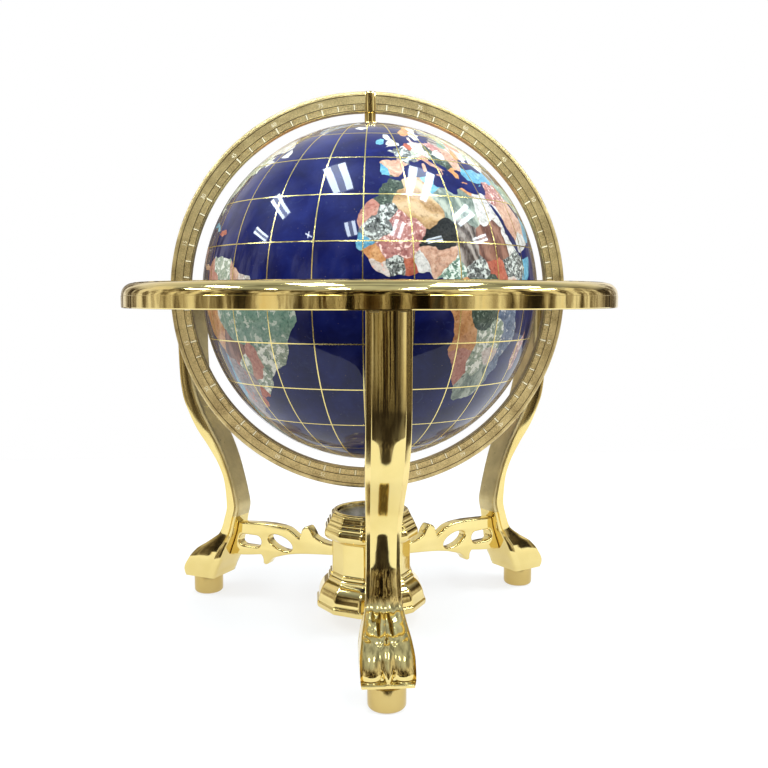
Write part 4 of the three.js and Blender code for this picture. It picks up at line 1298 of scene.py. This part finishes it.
FRONT, STRIP, SIDE, BACK = range(4)
LEG_MATERIAL = {FRONT: 0, STRIP: 1, SIDE: 0, BACK: 2}
FOOT_HEIGHT = 92  # below this the back of the leg is polished too


def leg_section(z):
    """Points round the leg at one height as (depth from the axis, across, kind of surface)."""
    inner, outer, half, rabbet, raise_by, share, corner = spline(LEG_SHAPE, z)
    strip = outer - raise_by
    dome = share * half
    depth = outer - inner
    shoulder = inner + 0.20 * depth
    steps = 26
    side = []
    for i in range(steps + 1):
        side.append((strip + raise_by * (1 - (i / steps) ** 2), dome * i / steps, FRONT))
    side.append((strip - 0.3, dome + 0.2, STRIP))
    corner = min(corner, half - dome - 0.25, 0.3 * depth)
    for i in range(5):
        a = radians(90 * i / 4)
        side.append((strip - 0.3 - corner * (1 - cos(a)), half - corner * (1 - sin(a)),
                     STRIP if i < 3 else SIDE))
    for t in (0.35, 0.7, 1):
        bulge = 0.4 * sin(pi * t)
        side.append((lerp(strip - 0.3 - corner, shoulder + 0.9, t), half - 0.4 + bulge, SIDE))
    groove = 0.8 * min(1.0, rabbet)
    side += [
        (shoulder + 0.5, half - rabbet - groove, BACK), (shoulder - 0.2, half - rabbet - groove, BACK),
        (shoulder - 0.9, half - rabbet, BACK), (inner + 0.9, half - rabbet - 0.5, BACK),
        (inner + 0.2, half - rabbet - 1.3, BACK), (inner, 0.72 * half, BACK),
        (inner, 0.3 * half, BACK),
    ]
    left = [(rho, -y, kind) for rho, y, kind in reversed(side) if y > 0]
    return side + left


# How deep the creases between the swellings of the foot are, by height
CREASES = [(22, 3.4), (40, 4.6), (52, 4.0), (62, 3.0), (71, 1.8), (80, 0.6), (90, 0.0)]


def swelling(y, z, across, up, power=0.8):
    """A smooth dome in the foot's surface: 1 at its middle, 0 at its rim."""
    return max(0.0, 1 - (y / across) ** 2 - (z / up) ** 2) ** power


def hoof_push(z, y):
    """How far the polished front of the foot steps back: two side toes, a kite-shaped middle one
    and two pairs of knuckles above stand out of it."""
    if z > CREASES[-1][0]:
        return 0.0
    y = abs(y)
    toe = swelling(y - 13.2 + 0.03 * (z - 40), z - 40.5, 10.0, 17.5)
    knuckle = swelling(y - 6.6, z - 61, 8.4, 12, 1.2)
    joint = swelling(y - 4.6, z - 73, 7.2, 11, 1.3)
    outer = 0.8 * swelling(y - 12, z - 66, 6.6, 16, 1.2)
    width = lerp(1.0, 7.8, smoothstep(60, 46, z)) * lerp(0.38, 1.0, smoothstep(25, 46, z))
    keel = smoothstep(60, 51, z) * max(0.0, 1 - (y / width) ** 2) ** 0.8
    shape = min(1.0, sum(part**5 for part in (toe, knuckle, joint, outer, keel)) ** 0.2)
    lip = smoothstep(LEG_BOTTOM + 2.4, LEG_BOTTOM + 4.4, z)
    edge = 0.6 * exp(-(((z - LEG_BOTTOM - 4.4) / 1.2) ** 2))
    return lip * (0.92 * spline(CREASES, z)[0] * (1 - shape) + edge)


def leg_heights():
    """Even steps up the leg, with finer ones in the foot."""
    heights = [LEG_BOTTOM + (LEG_TOP - LEG_BOTTOM) * i / 170 for i in range(171)]
    heights += [LEG_BOTTOM + 0.4 + 0.5 * i for i in range(136)]
    heights = sorted(set(round(h, 2) for h in heights))
    return [h for i, h in enumerate(heights) if i == 0 or h - heights[i - 1] > 0.25]


def make_leg(side, angle):
    heights = leg_heights()
    verts, faces, kinds = [], [], []
    for z in heights:
        section = leg_section(z)
        for rho, y, kind in section:
            verts.append((rho - hoof_push(z, y) if kind in (FRONT, STRIP) else rho, y, z))
    count = len(section)
    for level in range(len(heights) - 1):
        for i in range(count):
            j = (i + 1) % count
            a, b = level * count + i, level * count + j
            faces.append((a, b, b + count, a + count))
            kind = max(section[i][2], section[j][2])
            kinds.append(SIDE if kind == BACK and heights[level] < FOOT_HEIGHT else kind)
    top = (len(heights) - 1) * count
    faces += [tuple(reversed(range(count))), tuple(range(top, top + count))]
    kinds += [SIDE, SIDE]
    tenon = bar(((211 + 230) / 2, 0, (LEG_TOP + TENON_TOP) / 2 - 0.5),
                (19, 30, TENON_TOP - LEG_TOP + 1), (X, Y, Z))
    kinds += [BACK] * len(tenon[1])
    shape = moved(gather([(verts, faces), tenon]), turn_z(angle))
    dress(f"leg_{side}", shape, "stand", LEG, sharp=38, kinds=[LEG_MATERIAL[k] for k in kinds])


def make_feet(side, angle):
    a = radians(angle)
    at = Matrix.Translation((FOOT_RHO * cos(a), FOOT_RHO * sin(a), 0))
    r, top = FOOT_R, FOOT_TOP
    hole = 6.6
    pad = [(hole, 1.2), (hole, 0), (r - 4.2, 0)]
    pad += arc(r - 4.2, 4.2, 4.2, -80, -12, 6)
    pad += [(r, 6), (r, top - 2.2), (r - 0.3, top - 1.2), (r - 1.2, top - 0.5)]
    pad += [(r - 3, top), (3.5, top), (3.5, 6), (hole, 6)]
    screw = [(0, 3), (2.4, 3), (2.4, 1.4), (4.9, 1.3), (5.5, 1.9), (5.5, 5), (3, 5.2), (3, 37.6),
             (2.6, 38), (0, 38)]
    dress(f"foot_pad_{side}", moved(lathe(pad, 72), at), "stand", WORN_GOLD)
    dress(f"foot_screw_{side}", moved(lathe(screw, 36), at), "stand", STEEL)


def make_screw(node_name, angle, z, start, end, r, head_r, head_length):
    """A round-headed screw lying along a leg's direction, its head towards the axis."""
    neck = start + head_length
    profile = [(0, start + 1.2), (1.6, start + 1.2), (1.6, start + 0.1), (head_r - 1, start),
               (head_r - 0.2, start + 0.5), (head_r, start + 1.2), (head_r, neck), (r, neck),
               (r, end - 0.4), (r - 0.4, end), (0, end)]
    dress(node_name, moved(lathe(profile, 32), turn_z(angle) @ lying(z)), "stand", STEEL)


# ---------------------------------------------------------------- stretchers
def through(points, steps=8):
    """A smooth line through points, without the first."""
    path = []
    for i in range(len(points) - 1):
        p0 = points[max(0, i - 1)]
        p1, p2 = points[i], points[i + 1]
        p3 = points[min(len(points) - 1, i + 2)]
        for s in range(1, steps + 1):
            t = s / steps
            path.append(tuple(
                0.5 * (2 * p1[k] + (p2[k] - p0[k]) * t
                       + (2 * p0[k] - 5 * p1[k] + 4 * p2[k] - p3[k]) * t**2
                       + (3 * p1[k] - p0[k] - 3 * p2[k] + p3[k]) * t**3)
                for k in (0, 1)))
    return path


def stretcher_outline():
    """The scrolled plate seen from the side, as (depth from the axis, height)."""
    path = [(40, 62.4)]

    def run(*points):
        path.extend(through([path[-1], *points]))

    def bend(control, end, steps=6):
        path.extend(quad_curve(path[-1], control, end, steps)[1:])

    run((75, 59.3), (96, 56), (114, 50.6))
    bend((119, 48), (122, 43))
    bend((125, 40.5), (128, 43))
    bend((127, 49), (131, 52))
    run((148, 49.5), (171.7, 47))
    path.extend([(169.1, 54), (165.1, 64), (161.6, 74), (159.1, 85)])
    run((129, 86.8), (110, 86.6), (97, 84.3), (88, 79))
    path.extend([(82.5, 75.5), (80.3, 81)])
    bend((79, 89.5), (71, 89.5), 8)
    bend((67, 86), (64.5, 80))
    bend((56, 74), (40, 73.4), 8)
    return path


def slot_outline():
    z, r = 66, 6.3
    return arc(153, z, r, 90, -90, 14) + arc(136.7, z, r, 270, 90, 14)


def eye_outline():
    """A slanting oval."""
    tilt = radians(17)
    count = 40
    points = []
    for i in range(count):
        a = 2 * pi * i / count
        x, y = 15.5 * cos(a), 7.2 * sin(a)
        points.append((106 + x * cos(tilt) - y * sin(tilt), 68 + x * sin(tilt) + y * cos(tilt)))
    return points


def plate_mesh(outlines, half, round_by):
    """A plate with holes and rounded edges from flat outlines, as closed verts and faces."""
    curve = bpy.data.curves.new("plate", "CURVE")
    curve.dimensions = "2D"
    curve.fill_mode = "BOTH"
    for outline in outlines:
        loop = curve.splines.new("POLY")
        loop.points.add(len(outline) - 1)
        for point, (x, y) in zip(loop.points, outline):
            point.co = (x, y, 0, 1)
        loop.use_cyclic_u = True
    curve.extrude = half - round_by
    curve.bevel_depth = round_by
    curve.bevel_resolution = 3
    curve.offset = -round_by
    return welded(*mesh_of("plate", curve), 1e-3)


def make_stretcher(side, angle):
    verts, faces = plate_mesh([stretcher_outline(), slot_outline(), eye_outline()], 6, 1.6)
    upright = [(x, -z, y) for x, y, z in verts]
    dress(f"stretcher_{side}", moved((upright, faces), turn_z(angle)), "stand", GOLD, sharp=35)
    stud = moved(lathe(plain_pin(140, 168, 2.5), 28), turn_z(angle) @ lying(STUD_Z))
    dress(f"stretcher_stud_{side}", stud, "stand", STEEL)


# ---------------------------------------------------------------- plinth and compass
# Round one corner of the twelve-sided plinth: degrees from the middle of a flat, and how far out
# the surface is there compared with a sharp corner
CORNER = [(-12.4, 0.9890), (12.4, 0.9890), (13.27, 0.9924), (14.13, 0.9951), (15, 0.9959),
          (15.87, 0.9951), (16.73, 0.9924)]


def twelve_sided(node_name, profile):
    """A faceted turning with one flat towards each leg and its corners worn round."""
    around = [(radians(360 / PLINTH_SIDES * side + turn), out) for side in range(PLINTH_SIDES)
              for turn, out in CORNER]
    bevel(dress(node_name, lathe(profile, around), "stand", GOLD, sharp=12), 0.35, 3, 14)


def make_plinth():
    def bulge(*points, steps=6):
        """A quarter-round from the first point to the last, out towards the middle one."""
        return [(r, z + low) for r, z in quad_curve(*points, steps)]

    lo, hi = span("plinth_base")
    low, top = lo.z, hi.z - 0.15
    base = [(PLINTH_BORE, low), *bulge((55.4, 0), (57.2, 0.4), (57.5, 3.4))]
    base += [(57.5, low + 5.2), (57.1, low + 6.2), (55.9, low + 6.9), (55.7, low + 7.8)]
    base += bulge((55.6, 8.2), (54.6, 21), (45.4, 27.6), steps=9)
    base += [(45, low + 28.2), (45, low + 30), (44.6, low + 30.6), (43.5, top), (PLINTH_BORE, top)]
    twelve_sided("plinth_base", base)
    low, high = (v.z for v in span("plinth_column"))
    column = [(PLINTH_BORE, low), (43, low), (43, low + 2.1)]
    column += bulge((43, 2.5), (41.2, 3), (41, 4.5), steps=4)
    column += [(41, high), (PLINTH_BORE, high)]
    twelve_sided("plinth_column", column)
    low, high = (v.z for v in span("plinth_cap"))
    cap = [(42, low), (42.6, low + 0.4)]
    cap += bulge((43.4, 1.0), (47.0, 2.2), (48.4, 4.6))
    cap += bulge((48.7, 5.2), (50.0, 9.6), (47.4, 13.4), steps=9)
    cap += [(46.6, low + 13.8), (46.4, low + 14.6)]
    cap += bulge((46.5, 14.9), (46.6, 16.8), (44.9, 17.8), steps=5)
    cap += [(44.2, low + 18.1), (44.1, low + 18.8)]
    cap += bulge((44.2, 19.1), (44.2, 20.7), (43.0, 21.5), steps=5)
    cap += [(42.5, low + 21.8)]
    cap += quad_curve((42.4, low + 22.6), (41.2, high - 0.3), (40.0, high), 6)
    cap += [(38.7, high), (38.7, 100), (3.5, 100), (3.5, 95), (34, 95), (36, low)]
    twelve_sided("plinth_cap", cap)
    low, high = (v.z for v in span("plinth_bottom_plate"))
    outer = span("plinth_bottom_plate")[1].x
    plate = [(3.4, low), (outer - 0.8, low), (outer, low + 0.8), (outer, high - 0.3),
             (outer - 0.3, high), (3.4, high)]
    dress("plinth_bottom_plate", lathe(plate, 72), "stand", ("antique_gold", CAST))


def make_tie():
    dress("tie_rod", lathe(plain_pin(11, 99.7, 3), 28), "stand", STEEL)
    nut = [(3.3, 12.7), (5.2, 12.7), (5.7, 13.2), (5.7, 17.2), (5.2, 17.7), (3.3, 17.7)]
    bevel(dress("tie_nut", lathe(nut, 6), "stand", STEEL), 0.25)


def dial_axes(degrees):
    """Outwards and clockwise on the dial at a bearing from north."""
    a = radians(degrees)
    return Vector((sin(a), cos(a), 0)), Vector((cos(a), -sin(a), 0))


def dial_marks():
    """Degree strokes, the four points of the compass and a star, just proud of the dial."""
    parts = []
    thick = 0.12
    level = (span("compass_dial")[1].z + thick / 2) * Z
    for k in range(72):
        out, along = dial_axes(5 * k)
        length, width = (1.8, 0.35) if k % 6 else (3.4, 0.7)
        middle = out * (32.2 - length / 2) + level
        parts.append(bar(middle, (length, width, thick), (out, along, Z)))
    for k, letter in enumerate("NESW"):
        out, along = dial_axes(90 * k)
        parts.append(placed(letters(letter, 6.5, thick), out * 24.4 + level, along, out, Z))
    for k in range(16):
        out, along = dial_axes(22.5 * k)
        reach = 10 if k % 2 else 15 if k % 4 else 20
        ends = (out * reach, out * 4 + along * 2.2, out * 4 - along * 2.2)
        low, high = ([tuple(end + level + Z * rise) for end in ends] for rise in (-thick / 2, thick / 2))
        parts.append(prism(low, high))
    return gather(parts)


def make_compass():
    lo, hi = span("compass_case")
    dial_lo, dial_hi = span("compass_dial")
    glass_lo, glass_hi = span("compass_glass")
    seat, rebate = glass_lo.z - 0.3, glass_hi.x + 0.3
    wall, bottom = 33.6, dial_lo.z - 0.3
    case = [(0, lo.z), (hi.x - 0.6, lo.z), (hi.x, lo.z + 0.6), (hi.x, hi.z), (rebate, hi.z),
            (rebate, seat), (wall, seat), (wall, bottom), (0, bottom)]
    dress("compass_case", lathe(case, 96), "stand", GOLD)
    lo, hi = dial_lo, dial_hi
    dial = [(3.3, lo.z), (hi.x, lo.z), (hi.x, hi.z - 0.2), (hi.x - 0.2, hi.z), (3.3, hi.z)]
    dress("compass_dial", lathe(dial, 96), "stand", DIAL)
    build("compass_dial_marks", dial_marks(), "stand", DIAL_MARKS)
    lo, hi = glass_lo, glass_hi
    glass = [(0, lo.z), (hi.x - 0.3, lo.z), (hi.x, lo.z + 0.3), (hi.x, hi.z - 0.4),
             (hi.x - 0.4, hi.z), (0, hi.z)]
    dress("compass_glass", lathe(glass, 96), "stand", GLASS)
    lo, hi = span("compass_bezel")
    bezel = [(33.9, lo.z), (hi.x, lo.z), (hi.x, lo.z + 0.5), (hi.x - 0.6, hi.z - 0.35),
             (hi.x - 1.4, hi.z), (35.2, hi.z), (34.2, hi.z - 0.4), (33.9, hi.z - 1)]
    dress("compass_bezel", lathe(bezel, 96), "stand", GOLD)


def make_needle():
    lo, hi = span("compass_needle")
    reach, half, eye = hi.y, hi.x, 1.9
    for name, sign, finish, nodes in (("north", 1, NEEDLE_BLUE, ["compass_needle"]),
                                      ("south", -1, NEEDLE_PALE, [])):
        turns = [radians(a) for a in range(75, -76, -15)]
        outline = [(0, sign * reach), (sign * half, 0), (sign * eye, 0)]
        outline += [(eye * sin(a) * sign, eye * cos(a) * sign) for a in turns]
        outline += [(-sign * eye, 0), (-sign * half, 0)]
        shape = prism([(x, y, lo.z) for x, y in outline], [(x, y, hi.z) for x, y in outline])
        bevel(build(f"needle_{name}", shape, "needle", finish, nodes), 0.12)
    lo, hi = span("needle_cap")
    cap = [(0, hi.z), (0.8, hi.z - 0.05), (1.7, hi.z - 0.5), (2.3, hi.z - 1.2), (2.5, hi.z - 1.9),
           (2.5, lo.z + 0.2), (2.3, lo.z), (1.3, lo.z), (1.1, lo.z + 0.8), (0, lo.z + 1.55)]
    dress("needle_cap", lathe(cap, 36), "needle", GOLD)
    low, high = (v.z for v in span("compass_pivot"))
    pivot = [(0, low), (1.8, low), (2, low + 0.2), (2, low + 1), (1.2, low + 1.3),
             (0.6, low + 1.6), (0.35, high - 0.4), (0.15, high), (0, high)]
    dress("compass_pivot", lathe(pivot, 32), "stand", STEEL)


def dress_hidden_nodes():
    """The core inside the veneer keeps its CAD shape."""
    for name in ("core_north", "core_south", "joint_band"):
        obj = frame["nodes"][name]
        obj.data.materials.clear()
        obj.data.materials.append(CORE)


# ---------------------------------------------------------------- photo set-up, in metres
# The pale table the globe stands on: its front edge, and the dark shape standing at it, show in
# the ball under the ring and in the front leg
TABLE_FRONT = -0.46
TABLE_BACK = 0.95
TABLE_SIDE = 1.3
TABLE_NOTCH = [(0, -0.305), (0.036, -0.311), (0.056, -0.330), (0.070, -0.36), (0.090, -0.39),
               (0.13, -0.42), (0.20, -0.445), (0.32, TABLE_FRONT)]


def make_floor():
    mat = new_material("floor_white", {"Base Color": (0.21, 0.21, 0.21), "Roughness": 0.9,
                                       "Emission Color": WHITE, "Emission Strength": 0.72})[0]
    mesh = bpy.data.meshes.new("floor")
    right = TABLE_NOTCH + [(TABLE_SIDE, TABLE_FRONT), (TABLE_SIDE, TABLE_BACK)]
    outline = right + [(-x, y) for x, y in reversed(right[1:])]
    mesh.from_pydata([(x, y, 0) for x, y in outline], [], [list(range(len(outline)))])
    mesh.materials.append(mat)
    floor = add_object("floor", mesh)


def make_world():
    """White to the camera; to the metal and the stone, a bright room with dark things in it,
    most of them behind the camera."""
    world = bpy.data.worlds.new("studio")
    bpy.context.scene.world = world
    world.use_nodes = True
    tree = world.node_tree
    tree.nodes.clear()
    view = node(tree, "ShaderNodeTexCoord").outputs["Generated"]
    axes = node(tree, "ShaderNodeSeparateXYZ", {"Vector": view}).outputs
    back, up = axes["Y"], axes["Z"]
    tall = scaled(tree, view, (1, 1, 0.16))
    shelves = mix(tree, 0.45, noise_fac(tree, tall, 11, 5, 0.75), noise_fac(tree, tall, 3.6, 2))
    shapes = ramp(tree, shelves, [
        (0.41, (0.02, 0.016, 0.012)), (0.47, (0.14, 0.11, 0.075)), (0.52, (0.50, 0.45, 0.38)),
        (0.56, (1.0, 0.98, 0.94)), (0.62, (0.9, 0.8, 0.62)),
    ])
    ceiling = ramp(tree, noise_fac(tree, view, 2.4, 3), [
        (0.40, (0.22, 0.245, 0.28)), (0.60, (0.62, 0.70, 0.82)),
    ])
    color = cover(tree, shapes, ceiling, up, 1, 0.46, 0.66)
    person = ramp(tree, noise_fac(tree, scaled(tree, view, (1, 1, 0.10)), 13, 4, 0.7), [
        (0.45, (0.006, 0.004, 0.002)), (0.49, (0.05, 0.030, 0.014)), (0.53, (0.12, 0.075, 0.035)),
        (0.555, (0.85, 0.78, 0.60)), (0.58, (0.10, 0.065, 0.03)), (0.62, (0.55, 0.50, 0.38)),
    ])
    carpet, far_wall = (0.03, 0.024, 0.02), (0.95, 0.94, 0.90)
    for over, depth_range, height_range in (
        (person, (1, 0, -0.93, -0.74), (1, 0, 0.45, 0.68)),
        (carpet, (0.92, 0, -0.75, -0.2), (1, 0, -0.30, -0.12)),
        (far_wall, (0, 0.75, 0.30, 0.70), (0, 1, 0.24, 0.38)),
    ):
        ranges = {0: to_range(tree, back, *depth_range), 1: to_range(tree, up, *height_range)}
        mask = node(tree, "ShaderNodeMath", ranges, operation="MULTIPLY")
        color = mix(tree, mask.outputs[0], color, over)
    room, plain = (node(tree, "ShaderNodeBackground", {"Color": c, "Strength": 1.0}).outputs[0]
                   for c in (color, WHITE))
    is_camera = node(tree, "ShaderNodeLightPath").outputs["Is Camera Ray"]
    both = node(tree, "ShaderNodeMixShader", {"Fac": is_camera, 1: room, 2: plain})
    node(tree, "ShaderNodeOutputWorld", {"Surface": both.outputs[0]})


def area_light(name, size, power, color=WHITE):
    light = bpy.data.lights.new(name, "AREA")
    light.shape = "RECTANGLE"
    light.size, light.size_y = size
    light.energy = power
    light.color = color
    return add_object(name, light)


def aimed_light(name, at, look_at, size, power, color=WHITE):
    obj = area_light(name, size, power, color)
    obj.location = at
    obj.rotation_euler = (Vector(look_at) - Vector(at)).to_track_quat("-Z", "Y").to_euler()
    return obj


def lit_group(name, wanted):
    """The meshes that a light falls on."""
    group = bpy.data.collections.new(name)
    for obj in bpy.context.scene.objects:
        if obj.type == "MESH" and wanted(obj.name):
            group.objects.link(obj)
    return group


# Ceiling tubes as the ball sees them: bearing from the front and height in degrees of both ends,
# how many side by side, and how far apart in degrees
TUBES = [
    (-99, 74, -36, 64, 2, 7), (-100, 45, -74, 41, 2, 3.4), (-95, 29, -80, 27, 2, 2.2),
    (-20, 44, -16, 35, 2, 4), (20, 44, 14, 34, 2, 4), (95, 67, 44, 57, 2, 8),
    (87, 40, 66, 38, 2, 4.4), (48, 31, 36, 30, 2, 2), (86, 26, 72, 26, 2, 2),
    (-51, 34, -45, 32.4, 1, 1.6), (-48.8, 35.4, -48.2, 31.6, 1, 1.6),
]
TUBE_DISTANCE = 2.0
TUBE_WIDTH = 0.48  # of the gap between two
TUBE_COLOR = (0.80, 0.92, 1.0)
TUBE_POWER = 92  # per square metre
TRAY_POWER = 22
FRONT_TRAY_POWER = 18


def toward(bearing, height):
    a, b = radians(bearing), radians(height)
    return Vector((cos(b) * sin(a), -cos(b) * cos(a), sin(b)))


def hang(name, turn, direction, distance, size, power, group):
    """An area light with so much power per square metre, hung round the ball and facing it."""
    light = area_light(name, size, power * size[0] * size[1], TUBE_COLOR)
    light.matrix_world = Matrix.Translation(GLOBE_AT + direction * distance) @ turn
    light.light_linking.receiver_collection = group


def make_tubes():
    """Pairs of tubes, each in a dimmer tray. In the small curves of the legs they would burn out;
    only the trays in front light them."""
    group = lit_group("lit_by_tubes", lambda name: not name.startswith("leg_"))
    for k, (bearing_a, height_a, bearing_b, height_b, count, gap) in enumerate(TUBES):
        a, b = toward(bearing_a, height_a), toward(bearing_b, height_b)
        middle = (a + b).normalized()
        along = (b - a).normalized()
        across = middle.cross(along).normalized()
        turn = Matrix((across, along, middle)).transposed().to_4x4()
        step, length = radians(gap) * TUBE_DISTANCE, (b - a).length * TUBE_DISTANCE
        for i in range(count):
            offset = radians(gap) * (i - (count - 1) / 2)
            direction = (middle + across * offset).normalized()
            hang(f"tube_{k}_{i}", turn, direction, TUBE_DISTANCE, (step * TUBE_WIDTH, length),
                 TUBE_POWER, group)
        in_front = abs(bearing_a) <= 30
        hang(f"tray_{k}", turn, middle, TUBE_DISTANCE + 0.05, (step * (count - 0.4), 1.1 * length),
             FRONT_TRAY_POWER if in_front else TRAY_POWER, None if in_front else group)


def make_lights():
    """Soft boxes that light the stone but don't show in the gloss, the tubes that do, and a low
    pale screen in front that only the meridian ring and the two rear legs see."""
    for name, at, size, power in (
        ("soft_top", (0.1, -0.3, 2.2), (1.8, 1.8), 15),
        ("soft_left", (-1.9, -0.9, 1.3), (0.9, 1.2), 10),
        ("soft_right", (2.0, -0.6, 1.2), (0.8, 1.2), 10),
        ("soft_back", (0.2, 2.2, 1.6), (2.0, 1.0), 9),
        ("soft_front", (0.2, -2.6, 0.9), (1.6, 1.2), 13),
    ):
        aimed_light(name, at, (0, 0, 0.3), size, power).visible_glossy = False
    make_tubes()
    fill = aimed_light("low_fill", (0, -1.0, 0.0), (0, 0, 0.2), (1.6, 0.5), 1.76, (1, 0.97, 0.9))
    fill.light_linking.receiver_collection = lit_group(
        "lit_by_fill", lambda name: name.startswith(("meridian_", "leg_left", "leg_right")))


CAMERA_AZIMUTH = -3.58
CAMERA_DISTANCE = 0.90697
CAMERA_HEIGHT = 0.3307
LOOK_AZIMUTH = 4.44
LOOK_DOWN = 5.49
LENS = 42.2


def make_camera():
    data = bpy.data.cameras.new("photo_camera")
    data.lens = LENS
    data.sensor_width = 36
    data.clip_start = 0.01
    camera = add_object("photo_camera", data)
    a = radians(CAMERA_AZIMUTH)
    camera.location = (CAMERA_DISTANCE * sin(a), -CAMERA_DISTANCE * cos(a), CAMERA_HEIGHT)
    camera.rotation_euler = (radians(90 - LOOK_DOWN), 0, -radians(LOOK_AZIMUTH))
    bpy.context.scene.camera = camera


# ---------------------------------------------------------------- assembly
make_globe_skin()
make_graticule()
make_pole_fittings()
make_meridian_ring()
make_horizon_ring()
make_tilt_fittings()
for leg_side, leg_angle in LEG_ANGLES.items():
    make_leg(leg_side, leg_angle)
    make_feet(leg_side, leg_angle)
    make_stretcher(leg_side, leg_angle)
    make_screw(f"leg_screw_{leg_side}", leg_angle, LEG_SCREW_Z, 201.9, 226, 2.5, 5, 2.4)
    make_screw(f"plinth_screw_{leg_side}", leg_angle, PLINTH_SCREW_Z, 32.07, 55, 2, 4.5, 2.9)
make_plinth()
make_tie()
make_compass()
make_needle()
dress_hidden_nodes()
make_floor()
make_world()
make_lights()
make_camera()
bpy.context.scene.view_settings.view_transform = "Standard"
